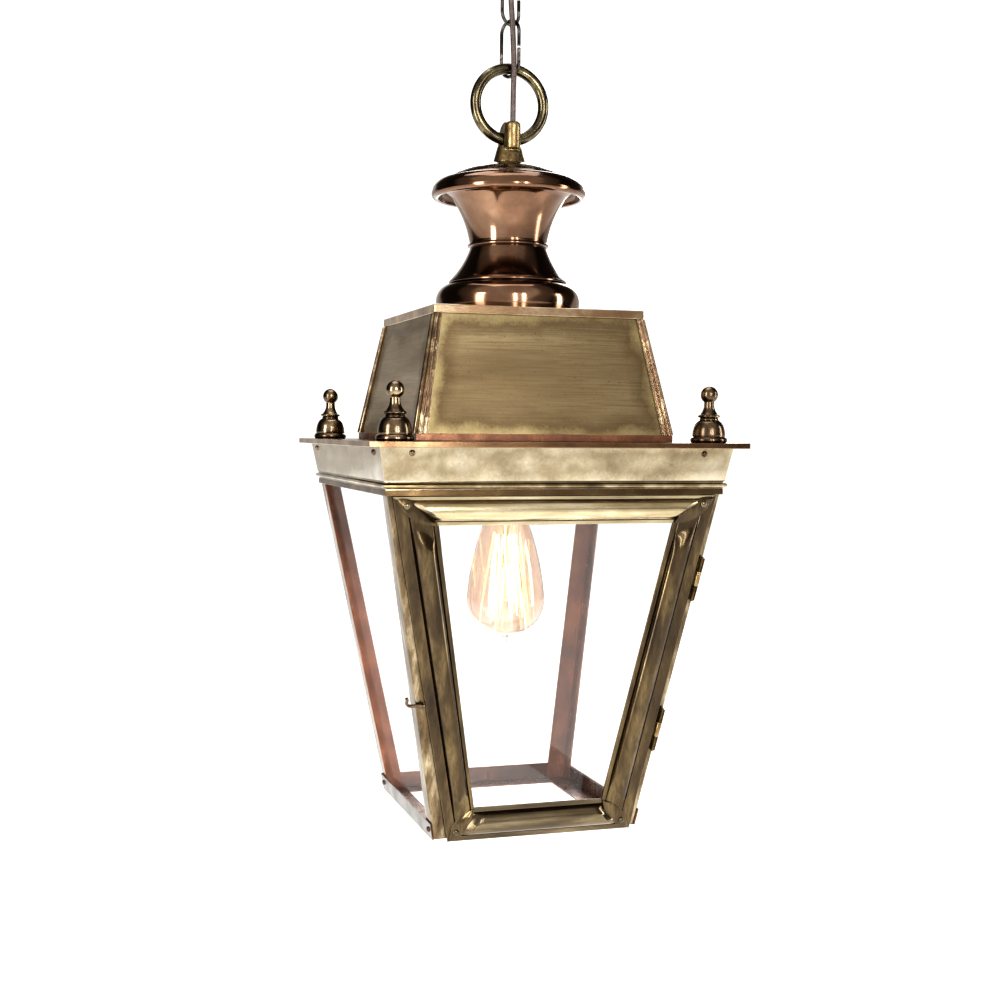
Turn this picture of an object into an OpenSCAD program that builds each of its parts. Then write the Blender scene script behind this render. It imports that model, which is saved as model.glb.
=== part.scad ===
// Tapered square hanging lantern on a short chain, with a hinged glazed door.
// The origin is the middle of the ceiling plate's top face, +Z is up and -Y is the door side.

/* [Hanging] */
// Diameter of the ceiling plate
plate_d = 90; // [80:1:120]
// Distance between the ceiling plate's two screw holes
plate_hole_spacing = 66; // [50:1:72]
// Diameter of the ceiling plate's screw holes
plate_hole_d = 5; // [4:0.5:6]
// Wire thickness of the ceiling hook
hook_wire = 4; // [3:0.5:5]
// Outside length of a chain link
link_l = 47; // [40:1:60]
// Outside width of a chain link
link_w = 22; // [21:0.5:26]
// Wire thickness of a chain link
link_wire = 2.8; // [2:0.1:3.5]
// Outside diameter of the big ring
ring_d = 66; // [60:1:80]
// Bar thickness of the big ring
ring_wire = 8.8; // [7:0.1:10]
// Diameter of the flex
flex_d = 4.4; // [3.5:0.1:5]

/* [Chimney] */
// Diameter over the cap's rolled rim
cap_d = 125; // [115:1:150]
// Diameter of the chimney's waist
waist_d = 62; // [50:1:70]
// Diameter of the skirt where it meets the base ring
skirt_d = 95; // [88:1:100]
// Diameter of the base ring
base_ring_d = 117; // [110:1:140]
// Height of the base ring
base_ring_h = 24.5; // [20:0.5:30]
// Height of the skirt between base ring and waist
skirt_h = 29; // [24:0.5:40]
// Height of the flared bell above the waist
bell_h = 45; // [38:0.5:60]
// Height of the cap from its rim to its top
cap_h = 29; // [26:0.5:40]
// Thickness of the spun copper
spun_t = 1; // [0.8:0.1:1.5]

/* [Roof] */
// Width of the roof at its top
roof_top_w = 168; // [150:1:200]
// Width of the roof at its foot
roof_foot_w = 203; // [190:1:240]
// Height of the roof with its crown
roof_h = 96; // [80:1:130]
// Height of the crown's folded edge
crown_h = 7; // [5:0.5:10]
// Width of a corner rib at its foot
rib_w = 9; // [7:0.5:12]
// Width of the deck plate
deck_w = 291; // [275:1:340]
// Height of the deck plate's folded edge
deck_h = 4.2; // [3:0.1:6]
// Height of the turned finials
finial_h = 43; // [36:1:60]
// Distance of a finial's axis from the deck's edge
finial_inset = 23.5; // [18:0.5:30]

/* [Body] */
// Width of the frieze at its foot
frieze_w = 263; // [255:1:300]
// Height of the frieze
frieze_h = 27; // [20:1:40]
// Outward slope of the frieze, as run over rise
frieze_slope = 0.19; // [0.1:0.01:0.25]
// Diameter of the half-round bead under the frieze
bead_d = 6.5; // [5:0.5:9]
// Width of the glazed body at its top, over the posts
body_top_w = 257.4; // [245:0.2:280]
// Width of the glazed body at its foot
body_foot_w = 162.6; // [140:0.2:200]
// Height of the glazed body
body_h = 261; // [220:1:320]
// Width of a corner post's legs
post_leg = 16; // [12:0.5:20]
// Thickness of the sheet brass
sheet_t = 1.2; // [1:0.1:1.6]
// Thickness of the glass panes
pane_t = 3; // [2:0.5:4]
// Height of the base rails
rail_h = 12; // [10:0.5:16]

/* [Door] */
// Width of the door's frame bars
door_bar = 29.5; // [26:0.5:36]
// Height of the door's bottom bar
door_foot_bar = 26; // [22:0.5:32]
// Height of the door's top bar
door_head_bar = 21; // [18:0.5:26]
// Diameter of the half-round moulding on the door's stiles
moulding_d = 13; // [10:0.5:16]
// Distance from the corner to the door's latch edge, at the head
door_gap_head = 3; // [2:0.5:6]
// Distance from the corner to the door's latch edge, at the foot
door_gap_foot = 10; // [6:0.5:12]
// Length of each hinge
hinge_l = 34; // [25:1:45]
// Diameter of the hinge knuckles
knuckle_d = 4; // [3.6:0.1:5]
// Diameter of the hinge pins
pin_d = 2; // [1.6:0.1:2.4]

/* [Lamp] */
// Largest diameter of the bulb
bulb_d = 64; // [60:1:70]
// Length of the bulb from its cap's contact to the glass's foot
bulb_l = 142; // [135:1:150]
// Outside diameter of the bulb's screw cap
cap_thread_d = 26.2; // [26:0.1:26.4]
// Outside diameter of the lampholder
holder_d = 39; // [36:0.5:44]
// Depth of the lampholder's contact below the crown
lamp_drop = 119; // [110:1:130]

/* [Hidden] */

$fn = 64;
// Longer than any part of the lantern is wide, and deeper than it hangs
far = 200;
deep = 1000;
eps = 0.01;

// Colours
brass = [0.55, 0.47, 0.26];
dark_brass = [0.36, 0.30, 0.16];
copper = [0.42, 0.26, 0.18];
iron = [0.10, 0.09, 0.08];
clear = [0.80, 0.88, 0.90, 0.3];

// Clearance between hanging pieces, and around pieces that only pass through a hole
hang_gap = 0.35;
pass_gap = 0.2;
// Radial clearance of a running hinge pin
run_gap = 0.05;

// Ceiling plate and hook
plate_t = 3;
hook_r = 9;
hook_drop = 32;
hook_shank = 5;
grommet_y = -16;
grommet_h = 5;
hook_z = -hook_drop;

// Chain and ring: z of the middle of each piece
upper_turn = 61;
lower_turn = upper_turn + 90;
link_gap = 1.6;
upper_z = hook_z + hook_wire / 2 + hang_gap + link_wire - link_l / 2;
lower_z = upper_z - link_l + 2 * link_wire + link_wire / 2 + hang_gap - link_wire / 2;
ring_r = (ring_d - ring_wire) / 2;
ring_z = lower_z - link_l / 2 + link_wire + hang_gap - ring_r + ring_wire / 2;
eye_z = ring_z - ring_r;

// Eye casting: heights from the ring's lowest point
eye_hole_r = ring_wire / 2 + 0.5;
eye_top = 13.5;
eye_seat = 18.4;
eye_w = 13;
boss_y = -9;
boss_r = 6.2;
flex_bore_r = flex_d / 2 + 0.6;
elbow_drop = 5.5;

// Stem tube, an M10 threaded tube
stem_r = 5;
stem_bore_r = 3.5;
stem_in_eye = 5.5;
nut_r = 8.5;
nut_h = 4;

// Chimney heights, upwards from the top of the roof's crown
skirt_z = base_ring_h;
waist_z = skirt_z + skirt_h;
bell_top_z = waist_z + bell_h;
cap_rim_z = bell_top_z - 6;
chimney_h = cap_rim_z + cap_h;
roof_z = eye_z - eye_seat - chimney_h;

// Roof
roof_foot_z = roof_z - roof_h;
roof_slope = (roof_foot_w - roof_top_w) / 2 / (roof_h - crown_h);
plinth_h = 5.5;
deck_z = roof_foot_z - plinth_h;
deck_hole_w = roof_foot_w - 12;
vent_count = 8;
vent_r = 8;
vent_circle_r = 26;

// Frieze, bead and head frame
frieze_top_z = deck_z - sheet_t;
frieze_foot_z = frieze_top_z - frieze_h;
bead_z = frieze_foot_z - bead_d / 2;
head_z = frieze_foot_z - bead_d;
head_h = 4.2;
head_flange = 16;

// Glazed body
body_z = head_z - head_h + 0.3;
body_foot_z = body_z - body_h;
body_slope = (body_top_w - body_foot_w) / 2 / body_h;
pane_gap = 0.2;

// Door: distances outwards from the posts' faces
lip_in = 1.4;
lip_out = 2.6;
hinge_side = 4.5;
door_top_z = body_z - 0.6;
door_foot_z = body_foot_z - 3;
door_open_top = door_top_z - door_head_bar;
door_open_foot = door_foot_z + door_foot_bar;
rivet_share = 0.3;
rivet_seat_r = 3.4;

// Hinges: the pin's line runs parallel to the front right corner
pin_side = 1.5;
pin_front = 2.4;
leaf_t = 1;
door_leaf_t = 0.9;
leaf_w = 12;
hinge_upper_z = body_z - 65;
hinge_lower_z = body_z - 184;
corner_tilt = atan(body_slope * sqrt(2));
corner_fold = atan(1 / cos(corner_tilt));
knuckle_gap = 0.3;
face_tilt = atan(body_slope);

// Latch
latch_z = body_z - 155;
latch_side = 3.8;

// Lamp
lamp_z = roof_z - lamp_drop;
bulb_cap_h = 27;
bulb_foot_z = lamp_z - bulb_l;

// Route of the flex from the ceiling grommet, in front of the chain and ring, to the eye's boss
flex_route = [
    [0, -16, -1], [0, -16, -8], [0, -15.6, -14], [0, -15, -20], [0, -13.5, -28], [-1, -11, -36], [-2, -8.5, -44],
    [-2, -7.5, -52], [-1.6, -7.5, -60], [-1, -8, -70], [-0.5, -8.4, -80], [0, -8.8, -92], [0.2, -9.4, -102],
    [0.2, -9.8, -110], [0.1, -9.8, -118], [0, -9.5, -127], [0, -9.2, -138], [0, -9, -146], [0, -9, -151],
];

function reverse(list) = [for (i = [len(list) - 1:-1:0]) list[i]];

// Points of an arc from p to q whose middle stands sag to the left of the straight line
function bow(p, q, sag, n = 8) =
    let (
        chord = q - p,
        half = 2 * atan(2 * sag / norm(chord)),
        r = norm(chord) / 2 / sin(half),
        along = chord / norm(chord),
        left = [-along.y, along.x],
        centre = (p + q) / 2 - left * r * cos(half)
    )
    [for (i = [0:n]) let (a = half * (2 * i / n - 1)) centre + r * (left * cos(a) + along * sin(a))];

// Points of an ellipse's quarter arc about c, from angle a0 to a1
function sweep(c, rx, ry, a0, a1, n = 8) =
    [for (i = [0:n]) let (a = a0 + (a1 - a0) * i / n) c + [rx * cos(a), ry * sin(a)]];

function roof_half(z) = roof_top_w / 2 + (roof_z - crown_h - z) * roof_slope;
function frieze_half(z) = frieze_w / 2 + (z - frieze_foot_z) * frieze_slope;
function body_half(z) = body_top_w / 2 - (body_z - z) * body_slope;

// The 2D children are drawn as seen from the front. They are cut out of the sheet that lies between
// the distances d0 and d1 outside a sloping face of half width h0 at z0 and h1 at z1
module on_face(z0, h0, z1, h1, d0, d1) {
    intersection() {
        rotate([90, 0, 0]) linear_extrude(far) children();
        rotate([90, 0, 90]) linear_extrude(2 * far, center = true)
            polygon([[-h0 - d0, z0], [-h0 - d1, z0], [-h1 - d1, z1], [-h1 - d0, z1]]);
    }
}

module on_body(d0, d1) {
    on_face(body_z + 10, body_half(body_z + 10), body_foot_z - 10, body_half(body_foot_z - 10), d0, d1) children();
}

module on_roof(d0, d1) {
    on_face(roof_z, roof_half(roof_z), roof_foot_z, roof_half(roof_foot_z), d0, d1) children();
}

// The quarter of the plan that belongs to the front side, for mitred corners
module mitred() {
    intersection() {
        children();
        translate([0, 0, -deep]) linear_extrude(deep) polygon([[0, 0], [-far, -far], [far, -far]]);
    }
}

// A bar of the given profile along the front side, mitred at both corners; the profile's x is the
// distance from the lantern's axis
module mitred_bar() {
    mitred() rotate([90, 0, 90]) linear_extrude(2 * far, center = true) mirror([1, 0]) children();
}

module on_side(k) {
    rotate([0, 0, 90 * k]) children();
}

module square_ring(outer, inner, h) {
    difference() {
        translate([-outer / 2, -outer / 2, 0]) cube([outer, outer, h]);
        translate([-inner / 2, -inner / 2, -1]) cube([inner, inner, h + 2]);
    }
}

module revolve(points) {
    rotate_extrude() polygon(points);
}

// A round tube along a route: a ring of points square to the route at each of its points
module route_tube(route, r, sides) {
    last = len(route) - 1;
    heading = [for (i = [0:last])
        let (d = route[min(i + 1, last)] - route[max(i - 1, 0)]) d / norm(d)];
    rings = [for (i = [0:last])
        let (u = cross(heading[i], [1, 0, 0]), v = u / norm(u), w = cross(heading[i], v))
        for (k = [0:sides - 1]) route[i] + r * (v * cos(360 * k / sides) + w * sin(360 * k / sides))];
    skin = [for (i = [0:last - 1], k = [0:sides - 1])
        let (a = i * sides, n = (k + 1) % sides) [a + k, a + sides + k, a + sides + n, a + n]];
    caps = [[for (k = [0:sides - 1]) k], [for (k = [sides - 1:-1:0]) last * sides + k]];
    polyhedron(rings, concat(skin, caps), convexity = 6);
}

// ---- Ceiling ----

module ceiling_plate() {
    color(dark_brass) difference() {
        revolve([[0, 0], [plate_d / 2 - 2, 0], [plate_d / 2, -1.5], [plate_d / 2 - 1, -plate_t], [0, -plate_t]]);
        translate([0, 0, -plate_t - 1]) cylinder(r = hook_shank / 2 + pass_gap, h = plate_t + 2);
        translate([0, grommet_y, -plate_t - 1]) cylinder(r = 5 + pass_gap / 2, h = plate_t + 2);
        for (side = [-1, 1])
            translate([side * plate_hole_spacing / 2, 0, -plate_t - 1]) cylinder(d = plate_hole_d, h = plate_t + 2);
    }
}

module ceiling_hook() {
    loop_z = hook_z + hook_r;
    color(iron) rotate([0, 0, 90 - lower_turn]) {
        translate([0, 0, loop_z]) rotate([90, 0, 0]) rotate([0, 0, 90])
            rotate_extrude(angle = 300) translate([hook_r, 0]) circle(d = hook_wire, $fn = 32);
        translate([0, 0, loop_z + hook_r - hook_wire / 2]) cylinder(d = hook_shank, h = -loop_z - hook_r + hook_wire / 2);
        translate([0, 0, -plate_t - nut_h]) cylinder(r = nut_r - 1.5, h = nut_h, $fn = 6);
    }
}

module ceiling_grommet() {
    color(iron) translate([0, grommet_y, 0]) difference() {
        union() {
            translate([0, 0, -plate_t]) cylinder(r = 5, h = plate_t);
            translate([0, 0, -plate_t - grommet_h]) cylinder(r1 = 4, r2 = 7, h = grommet_h);
        }
        translate([0, 0, -plate_t - grommet_h - 1]) cylinder(r = flex_d / 2 - 0.15, h = plate_t + grommet_h + 2);
    }
}

module flex_cable() {
    color(iron) route_tube(flex_route, flex_d / 2, 10);
}

// ---- Chain and ring ----

module chain_link(z, turn) {
    bend_r = (link_w - link_wire) / 2;
    leg = link_l - link_w;
    color(iron) translate([0, 0, z]) rotate([0, 0, 90 - turn]) difference() {
        union() {
            for (flip = [0, 1]) mirror([0, 0, flip]) translate([0, 0, leg / 2]) rotate([90, 0, 0])
                rotate_extrude(angle = 180) translate([bend_r, 0]) circle(d = link_wire, $fn = 32);
            for (side = [-1, 1])
                translate([side * bend_r, 0, -leg / 2]) cylinder(d = link_wire, h = leg, $fn = 32);
        }
        translate([-bend_r, 0, 0]) cube([2 * link_wire, 2 * link_wire, link_gap], center = true);
    }
}

module suspension_ring() {
    color(brass) translate([0, 0, ring_z]) rotate([90, 0, 0])
        rotate_extrude($fn = 96) translate([ring_r, 0]) circle(d = ring_wire, $fn = 48);
}

// ---- Eye, stem and inner flex ----

module hanging_eye() {
    rear_leg = 11;
    color(dark_brass) translate([0, 0, eye_z]) difference() {
        union() {
            translate([0, 0, -eye_seat]) cylinder(r1 = 13.2, r2 = 9.6, h = eye_seat - eye_hole_r - 0.2);
            translate([0, boss_y, -eye_hole_r - 3]) cylinder(r = boss_r, h = eye_hole_r + 3 + eye_top - 2);
            translate([0, boss_y, eye_top - 2]) cylinder(r1 = boss_r, r2 = boss_r - 2, h = 2);
            intersection() {
                rotate([90, 0, 90]) linear_extrude(eye_w, center = true) polygon(concat(
                    [[boss_y, -eye_hole_r - 3], [rear_leg - 1, -eye_hole_r - 3]],
                    bow([rear_leg, 0], [boss_y, eye_top - 0.5], -5)
                ));
                cylinder(r = 14, h = 60, center = true);
            }
        }
        rotate([0, 90, 0]) cylinder(r = eye_hole_r, h = 40, center = true);
        translate([0, 0, 0.9]) rotate([0, 90, 0]) cylinder(r = eye_hole_r, h = 40, center = true);
        translate([0, boss_y, -elbow_drop]) cylinder(r = flex_bore_r, h = 40);
        translate([0, boss_y, -elbow_drop]) sphere(r = flex_bore_r);
        eye_elbow();
        translate([0, 0, -eye_seat - 1]) cylinder(r = stem_r + pass_gap / 2, h = stem_in_eye + 1);
    }
}

// The slanting bore from the boss down to the stem's socket
module eye_elbow() {
    end_z = -eye_seat + stem_in_eye - 1.5;
    run = -boss_y;
    drop = -elbow_drop - end_z;
    translate([0, boss_y, -elbow_drop]) rotate([180 + atan(run / drop), 0, 0])
        cylinder(r = flex_bore_r, h = norm([run, drop]));
}

module flex_inner() {
    stem_foot = lamp_z + 12;
    route = concat(
        [for (z = [0, -6, -13]) [0, boss_y, eye_z + eye_top + z]],
        [
            [0, boss_y, eye_z - elbow_drop + 1.6], [0, boss_y * 0.93, eye_z - elbow_drop - 1],
            [0, boss_y * 0.55, eye_z - elbow_drop - 3.6], [0, boss_y * 0.2, eye_z - elbow_drop - 6.2],
            [0, boss_y * 0.04, eye_z - elbow_drop - 9], [0, 0, eye_z - elbow_drop - 12],
        ],
        [for (i = [1:12]) [0, 0, eye_z - 18 + (stem_foot - eye_z + 18) * i / 12]]
    );
    color(iron) route_tube(route, flex_d / 2, 10);
}

module stem_tube() {
    top_z = eye_z - eye_seat + stem_in_eye - 0.3;
    foot_z = lamp_z + 25;
    color(dark_brass) translate([0, 0, foot_z]) difference() {
        cylinder(r = stem_r, h = top_z - foot_z);
        translate([0, 0, -1]) cylinder(r = stem_bore_r, h = top_z - foot_z + 2);
    }
}

// Hexagon nuts under the cap, under the crown and above the lampholder
module stem_nuts() {
    cap_under = eye_z - eye_seat - spun_t;
    color(dark_brass) for (top = [cap_under, roof_z - sheet_t, lamp_z + 32])
        translate([0, 0, top - nut_h]) difference() {
            cylinder(r = nut_r, h = nut_h, $fn = 6);
            translate([0, 0, -1]) cylinder(r = stem_r + eps, h = nut_h + 2);
        }
}

// ---- Chimney ----

module cap_dome() {
    rim_r = cap_d / 2;
    dome_r = rim_r - 13;
    seat_r = 13.4;
    top = chimney_h;
    joint_z = cap_rim_z + 16.3;
    outer = concat(
        [[0, top], [seat_r, top]],
        bow([seat_r + 0.2, top - 0.3], [dome_r, joint_z], 2, 10),
        bow([dome_r + 0.8, joint_z - 0.4], [rim_r, cap_rim_z + 6], 2.2, 6),
        bow([rim_r, cap_rim_z + 5.8], [rim_r - 4, cap_rim_z], 1, 4)
    );
    inner = concat(
        [[0, top - spun_t], [seat_r, top - spun_t]],
        bow([seat_r + 0.2, top - spun_t - 0.3], [dome_r - 0.4, joint_z - spun_t], 2, 10),
        bow([dome_r + 0.2, joint_z - spun_t - 0.4], [rim_r - 1.3, cap_rim_z + 6], 2, 6),
        bow([rim_r - 1.3, cap_rim_z + 5.8], [rim_r - 5, cap_rim_z + 0.4], 1, 4)
    );
    color(copper) translate([0, 0, roof_z]) difference() {
        revolve(concat(outer, reverse(inner)));
        translate([0, 0, top - 5]) cylinder(r = stem_r + pass_gap, h = 10);
    }
}

// The flared bell ends in a narrow shelf just inside the cap's rim
module chimney_bell() {
    waist_r = waist_d / 2 + 0.4;
    lip_r = cap_d / 2 - 16.5;
    shelf_r = cap_d / 2 - 3;
    shelf_z = bell_top_z + 1;
    outer = concat(
        [[waist_r, waist_z], [waist_r + 1.4, waist_z + 0.8], [waist_r + 1.4, waist_z + 2.6], [waist_r, waist_z + 3.4]],
        bow([waist_r, waist_z + 3.6], [lip_r, bell_top_z - 5], 2.2, 12),
        bow([lip_r + 0.2, bell_top_z - 4.7], [shelf_r, shelf_z - spun_t], 1.5, 6)
    );
    inner = concat(
        [[waist_r - spun_t, waist_z]],
        bow([waist_r - spun_t, waist_z + 3.6], [lip_r - 1.1, bell_top_z - 4.6], 2.2, 12),
        bow([lip_r - 1, bell_top_z - 4.3], [shelf_r, shelf_z], 1.5, 6)
    );
    color(copper) translate([0, 0, roof_z]) revolve(concat(outer, reverse(inner)));
}

module chimney_skirt() {
    skirt_r = skirt_d / 2;
    waist_r = waist_d / 2;
    outer = concat(
        [[skirt_r + 0.6, skirt_z], [skirt_r + 0.6, skirt_z + 2.2]],
        bow([skirt_r, skirt_z + 2.6], [waist_r, waist_z], 1.7, 10)
    );
    inner = concat(
        [[skirt_r - 0.6, skirt_z], [skirt_r - 0.6, skirt_z + 2]],
        bow([skirt_r - 1.1, skirt_z + 2.6], [waist_r - spun_t, waist_z], 1.7, 10)
    );
    color(copper) translate([0, 0, roof_z]) revolve(concat(outer, reverse(inner)));
}

module chimney_base() {
    ring_out = base_ring_d / 2;
    shoulder = [ring_out - 14.2, base_ring_h - 14.2];
    flange_r = skirt_d / 2 - 8;
    outer = concat([[ring_out - 0.5, 0]], sweep(shoulder, 14.2, 14.2, 0, 90, 12), [[flange_r, base_ring_h]]);
    inner = concat(
        [[ring_out - 0.5 - spun_t, 0]],
        sweep(shoulder, 14.2 - spun_t, 14.2 - spun_t, 0, 90, 12),
        [[flange_r, base_ring_h - spun_t]]
    );
    color(copper) translate([0, 0, roof_z]) revolve(concat(outer, reverse(inner)));
}

// ---- Roof ----

// A folded tray: flat top with vent holes, turned-down edge and a return lip that the panels meet
module roof_crown() {
    lip = 8;
    color(brass) translate([0, 0, roof_z]) {
        difference() {
            translate([-roof_top_w / 2, -roof_top_w / 2, -sheet_t]) cube([roof_top_w, roof_top_w, sheet_t]);
            translate([0, 0, -5]) cylinder(r = stem_r + pass_gap, h = 10);
            for (i = [0:vent_count - 1]) rotate([0, 0, 360 * (i + 0.5) / vent_count])
                translate([vent_circle_r, 0, -5]) cylinder(r = vent_r, h = 10);
        }
        translate([0, 0, -crown_h]) square_ring(roof_top_w, roof_top_w - 2 * sheet_t, crown_h - sheet_t);
        translate([0, 0, -crown_h]) square_ring(roof_top_w - 2 * sheet_t, roof_top_w - 2 * lip, sheet_t);
    }
}

module roof_panel(k) {
    top = roof_z - crown_h;
    edge = 2 * sheet_t + pass_gap;
    color(brass) on_side(k) on_roof(-2 * sheet_t, -sheet_t) polygon([
        [-roof_half(top) + edge, top], [roof_half(top) - edge, top],
        [roof_half(roof_foot_z) - edge, roof_foot_z], [-roof_half(roof_foot_z) + edge, roof_foot_z],
    ]);
}

// Four corner strips, each lapping both faces and standing proud of the panels
module roof_ribs() {
    top = roof_z - crown_h;
    head_w = rib_w * 0.7;
    color(brass) for (k = [0:3]) on_side(k) {
        mitred() on_roof(-sheet_t, 0.8) for (side = [-1, 1]) scale([side, 1]) polygon([
            [-roof_half(top) - 1, top], [-roof_half(top) + head_w, top],
            [-roof_half(roof_foot_z) + rib_w, roof_foot_z], [-roof_half(roof_foot_z) - 1, roof_foot_z],
        ]);
    }
}

module roof_plinth() {
    color(copper) translate([0, 0, deck_z]) square_ring(roof_foot_w, roof_foot_w - 6, plinth_h);
}

module deck_plate() {
    at = deck_w / 2 - finial_inset;
    color(dark_brass) translate([0, 0, deck_z]) {
        difference() {
            translate([0, 0, -sheet_t]) square_ring(deck_w, deck_hole_w, sheet_t);
            for (x = [-at, at], y = [-at, at]) translate([x, y, -5]) cylinder(r = 2.5 + pass_gap, h = 10);
        }
        translate([0, 0, -deck_h]) square_ring(deck_w, deck_w - 2 * sheet_t, deck_h - sheet_t);
    }
}

module at_deck_corner(k) {
    at = deck_w / 2 - finial_inset;
    rotate([0, 0, 90 * k]) translate([-at, -at, deck_z]) children();
}

module finial(k) {
    ball_r = 6.6;
    ball_z = finial_h - ball_r;
    bell_r = 13.3;
    color(dark_brass) at_deck_corner(k) {
        revolve(concat(
            [[0, 0], [bell_r + 0.3, 0], [bell_r + 0.7, 1.6], [bell_r + 0.3, 3.6], [bell_r - 0.8, 4.4]],
            sweep([7, 4.8], bell_r - 7.6, 12, 0, 80, 6),
            [[7.4, 17.4], [7.4, 18.6], [6.6, 19], [8.2, 19.8], [8.4, 20.8], [7.6, 22]],
            bow([6.8, 22.6], [3.9, ball_z - 6.6], 0.8, 5),
            [[3.9, ball_z - 4.6]],
            sweep([0, ball_z], ball_r, ball_r, -50, 89, 12),
            [[0, ball_z + ball_r]]
        ));
        translate([0, 0, -10]) cylinder(r = 2.5, h = 10 + eps);
    }
}

module finial_nuts() {
    color(dark_brass) for (k = [0:3]) at_deck_corner(k) translate([0, 0, -sheet_t - 3.5]) difference() {
        cylinder(r = 5, h = 3.5, $fn = 6);
        translate([0, 0, -1]) cylinder(r = 2.5 + eps, h = 6);
    }
}

// ---- Frieze, bead and head frame ----

module frieze(k) {
    top = frieze_top_z;
    foot = frieze_foot_z;
    color(brass) on_side(k) mitred() on_face(top, frieze_half(top), foot, frieze_half(foot), -sheet_t, 0)
        translate([-far, foot]) square([2 * far, top - foot]);
}

// Round heads: two on each frieze panel, and two on each of the base rails that show
module body_screws() {
    frieze_at = frieze_w / 2 - 19;
    frieze_screw_z = frieze_top_z - 7;
    rail_z = body_foot_z + rail_h / 2;
    rail_at = body_half(rail_z) - 6.5;
    color(dark_brass) for (side = [-1, 1]) {
        for (k = [0:3]) on_side(k)
            screw_head([side * frieze_at, -frieze_half(frieze_screw_z), frieze_screw_z], atan(frieze_slope));
        for (k = [1:3]) on_side(k) screw_head([side * rail_at, -body_half(rail_z) - sheet_t, rail_z], face_tilt);
    }
}

module screw_head(at, tilt) {
    translate(at) rotate([90 + tilt, 0, 0]) cylinder(r1 = 2.3, r2 = 1.5, h = 1.5, $fn = 24);
}

module bead_moulding() {
    centre_r = frieze_w / 2 - 1.8;
    color(brass) for (k = [0:3]) on_side(k) mitred_bar() union() {
        translate([centre_r, bead_z]) circle(d = bead_d, $fn = 32);
        translate([centre_r - 5, bead_z - bead_d / 2]) square([6, bead_d]);
    }
}

module head_frame() {
    out = body_half(head_z) + sheet_t;
    color(brass) for (k = [0:3]) on_side(k) mitred_bar() union() {
        translate([out - sheet_t, head_z - head_h]) square([sheet_t, head_h]);
        translate([out - head_flange, head_z - sheet_t]) square([head_flange, sheet_t]);
    }
}

// ---- Body ----

module post(k) {
    top = head_z - sheet_t;
    strip = [
        [-body_half(top), top], [-body_half(top) + post_leg, top],
        [-body_half(body_foot_z) + post_leg, body_foot_z], [-body_half(body_foot_z), body_foot_z],
    ];
    color(copper) on_side(k) {
        on_body(-sheet_t, 0) polygon(strip);
        on_side(-1) on_body(-sheet_t, 0) scale([-1, 1]) polygon(strip);
    }
}

// Angle bars: the upright leg laps the posts, outside them but inside behind the door
module base_rail(k) {
    leg_in = k == 0 ? -2 * sheet_t - pass_gap : 0;
    floor_w = 17;
    color(copper) on_side(k) mitred() {
        on_body(leg_in, leg_in + sheet_t)
            translate([-far, body_foot_z - sheet_t]) square([2 * far, rail_h + sheet_t]);
        on_body(leg_in - floor_w, leg_in + eps)
            translate([-far, body_foot_z - sheet_t]) square([2 * far, sheet_t]);
    }
}

module pane(k) {
    top = head_z - sheet_t - pane_gap;
    foot = body_foot_z + 0.2;
    edge = sheet_t + pane_t + 1;
    color(clear) on_side(k) on_body(-sheet_t - pane_gap - pane_t, -sheet_t - pane_gap) polygon([
        [-body_half(top) + edge, top], [body_half(top) - edge, top],
        [body_half(foot) - edge, foot], [-body_half(foot) + edge, foot],
    ]);
}

// ---- Door ----

// Distance from the corner to the door's latch edge at height z
function door_edge_at(z) =
    door_gap_head + (door_gap_foot - door_gap_head) * (door_top_z - z) / (door_top_z - door_foot_z);

function door_outer() = [
    [-body_half(door_top_z) + door_gap_head, door_top_z], [body_half(door_top_z) - hinge_side, door_top_z],
    [body_half(door_foot_z) - hinge_side, door_foot_z], [-body_half(door_foot_z) + door_gap_foot, door_foot_z],
];

function door_inner(grow = 0) =
    let (
        top = door_open_top + grow,
        foot = door_open_foot - grow,
        bar = door_bar + hinge_side - grow
    )
    [
        [-body_half(top) + bar, top], [body_half(top) - bar, top],
        [body_half(foot) - bar, foot], [-body_half(foot) + bar, foot],
    ];

// One bar of the door's frame, between two neighbouring corners; its ends are mitred
module door_bar_lip(i) {
    outer = door_outer();
    inner = door_inner();
    n = (i + 1) % 4;
    on_body(lip_in, lip_out) polygon([outer[i], outer[n], inner[n], inner[i]]);
}

// The raised half-round on a bar, from one mitre to the other
module door_bar_moulding(i, d) {
    outer = door_outer();
    inner = door_inner();
    n = (i + 1) % 4;
    share = 0.56;
    p = outer[i] + (inner[i] - outer[i]) * share;
    q = outer[n] + (inner[n] - outer[n]) * share;
    run = [q.x - p.x, -body_half(q.y) + body_half(p.y), q.y - p.y];
    difference() {
        intersection() {
            translate([p.x, -body_half(p.y) - lip_in, p.y]) rotate([0, acos(run.z / norm(run)), atan2(run.y, run.x)])
                translate([0, 0, -30]) cylinder(d = d, h = norm(run) + 60);
            on_body(lip_out - eps, 20) polygon([outer[i], outer[n], inner[n], inner[i]]);
        }
        for (corner = [i, n]) at_rivet(corner) cylinder(r = rivet_seat_r, h = 20);
    }
}

// On the door's outer face, where the bars are beaten flat at corner i and riveted
module at_rivet(i) {
    outer = door_outer();
    inner = door_inner();
    p = outer[i] + (inner[i] - outer[i]) * rivet_share;
    translate([p.x, -body_half(p.y) - lip_out, p.y]) rotate([90 + face_tilt, 0, 0]) children();
}

module door_rail_head() {
    color(brass) {
        door_bar_lip(0);
        door_bar_moulding(0, door_head_bar - 4);
    }
}

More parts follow.
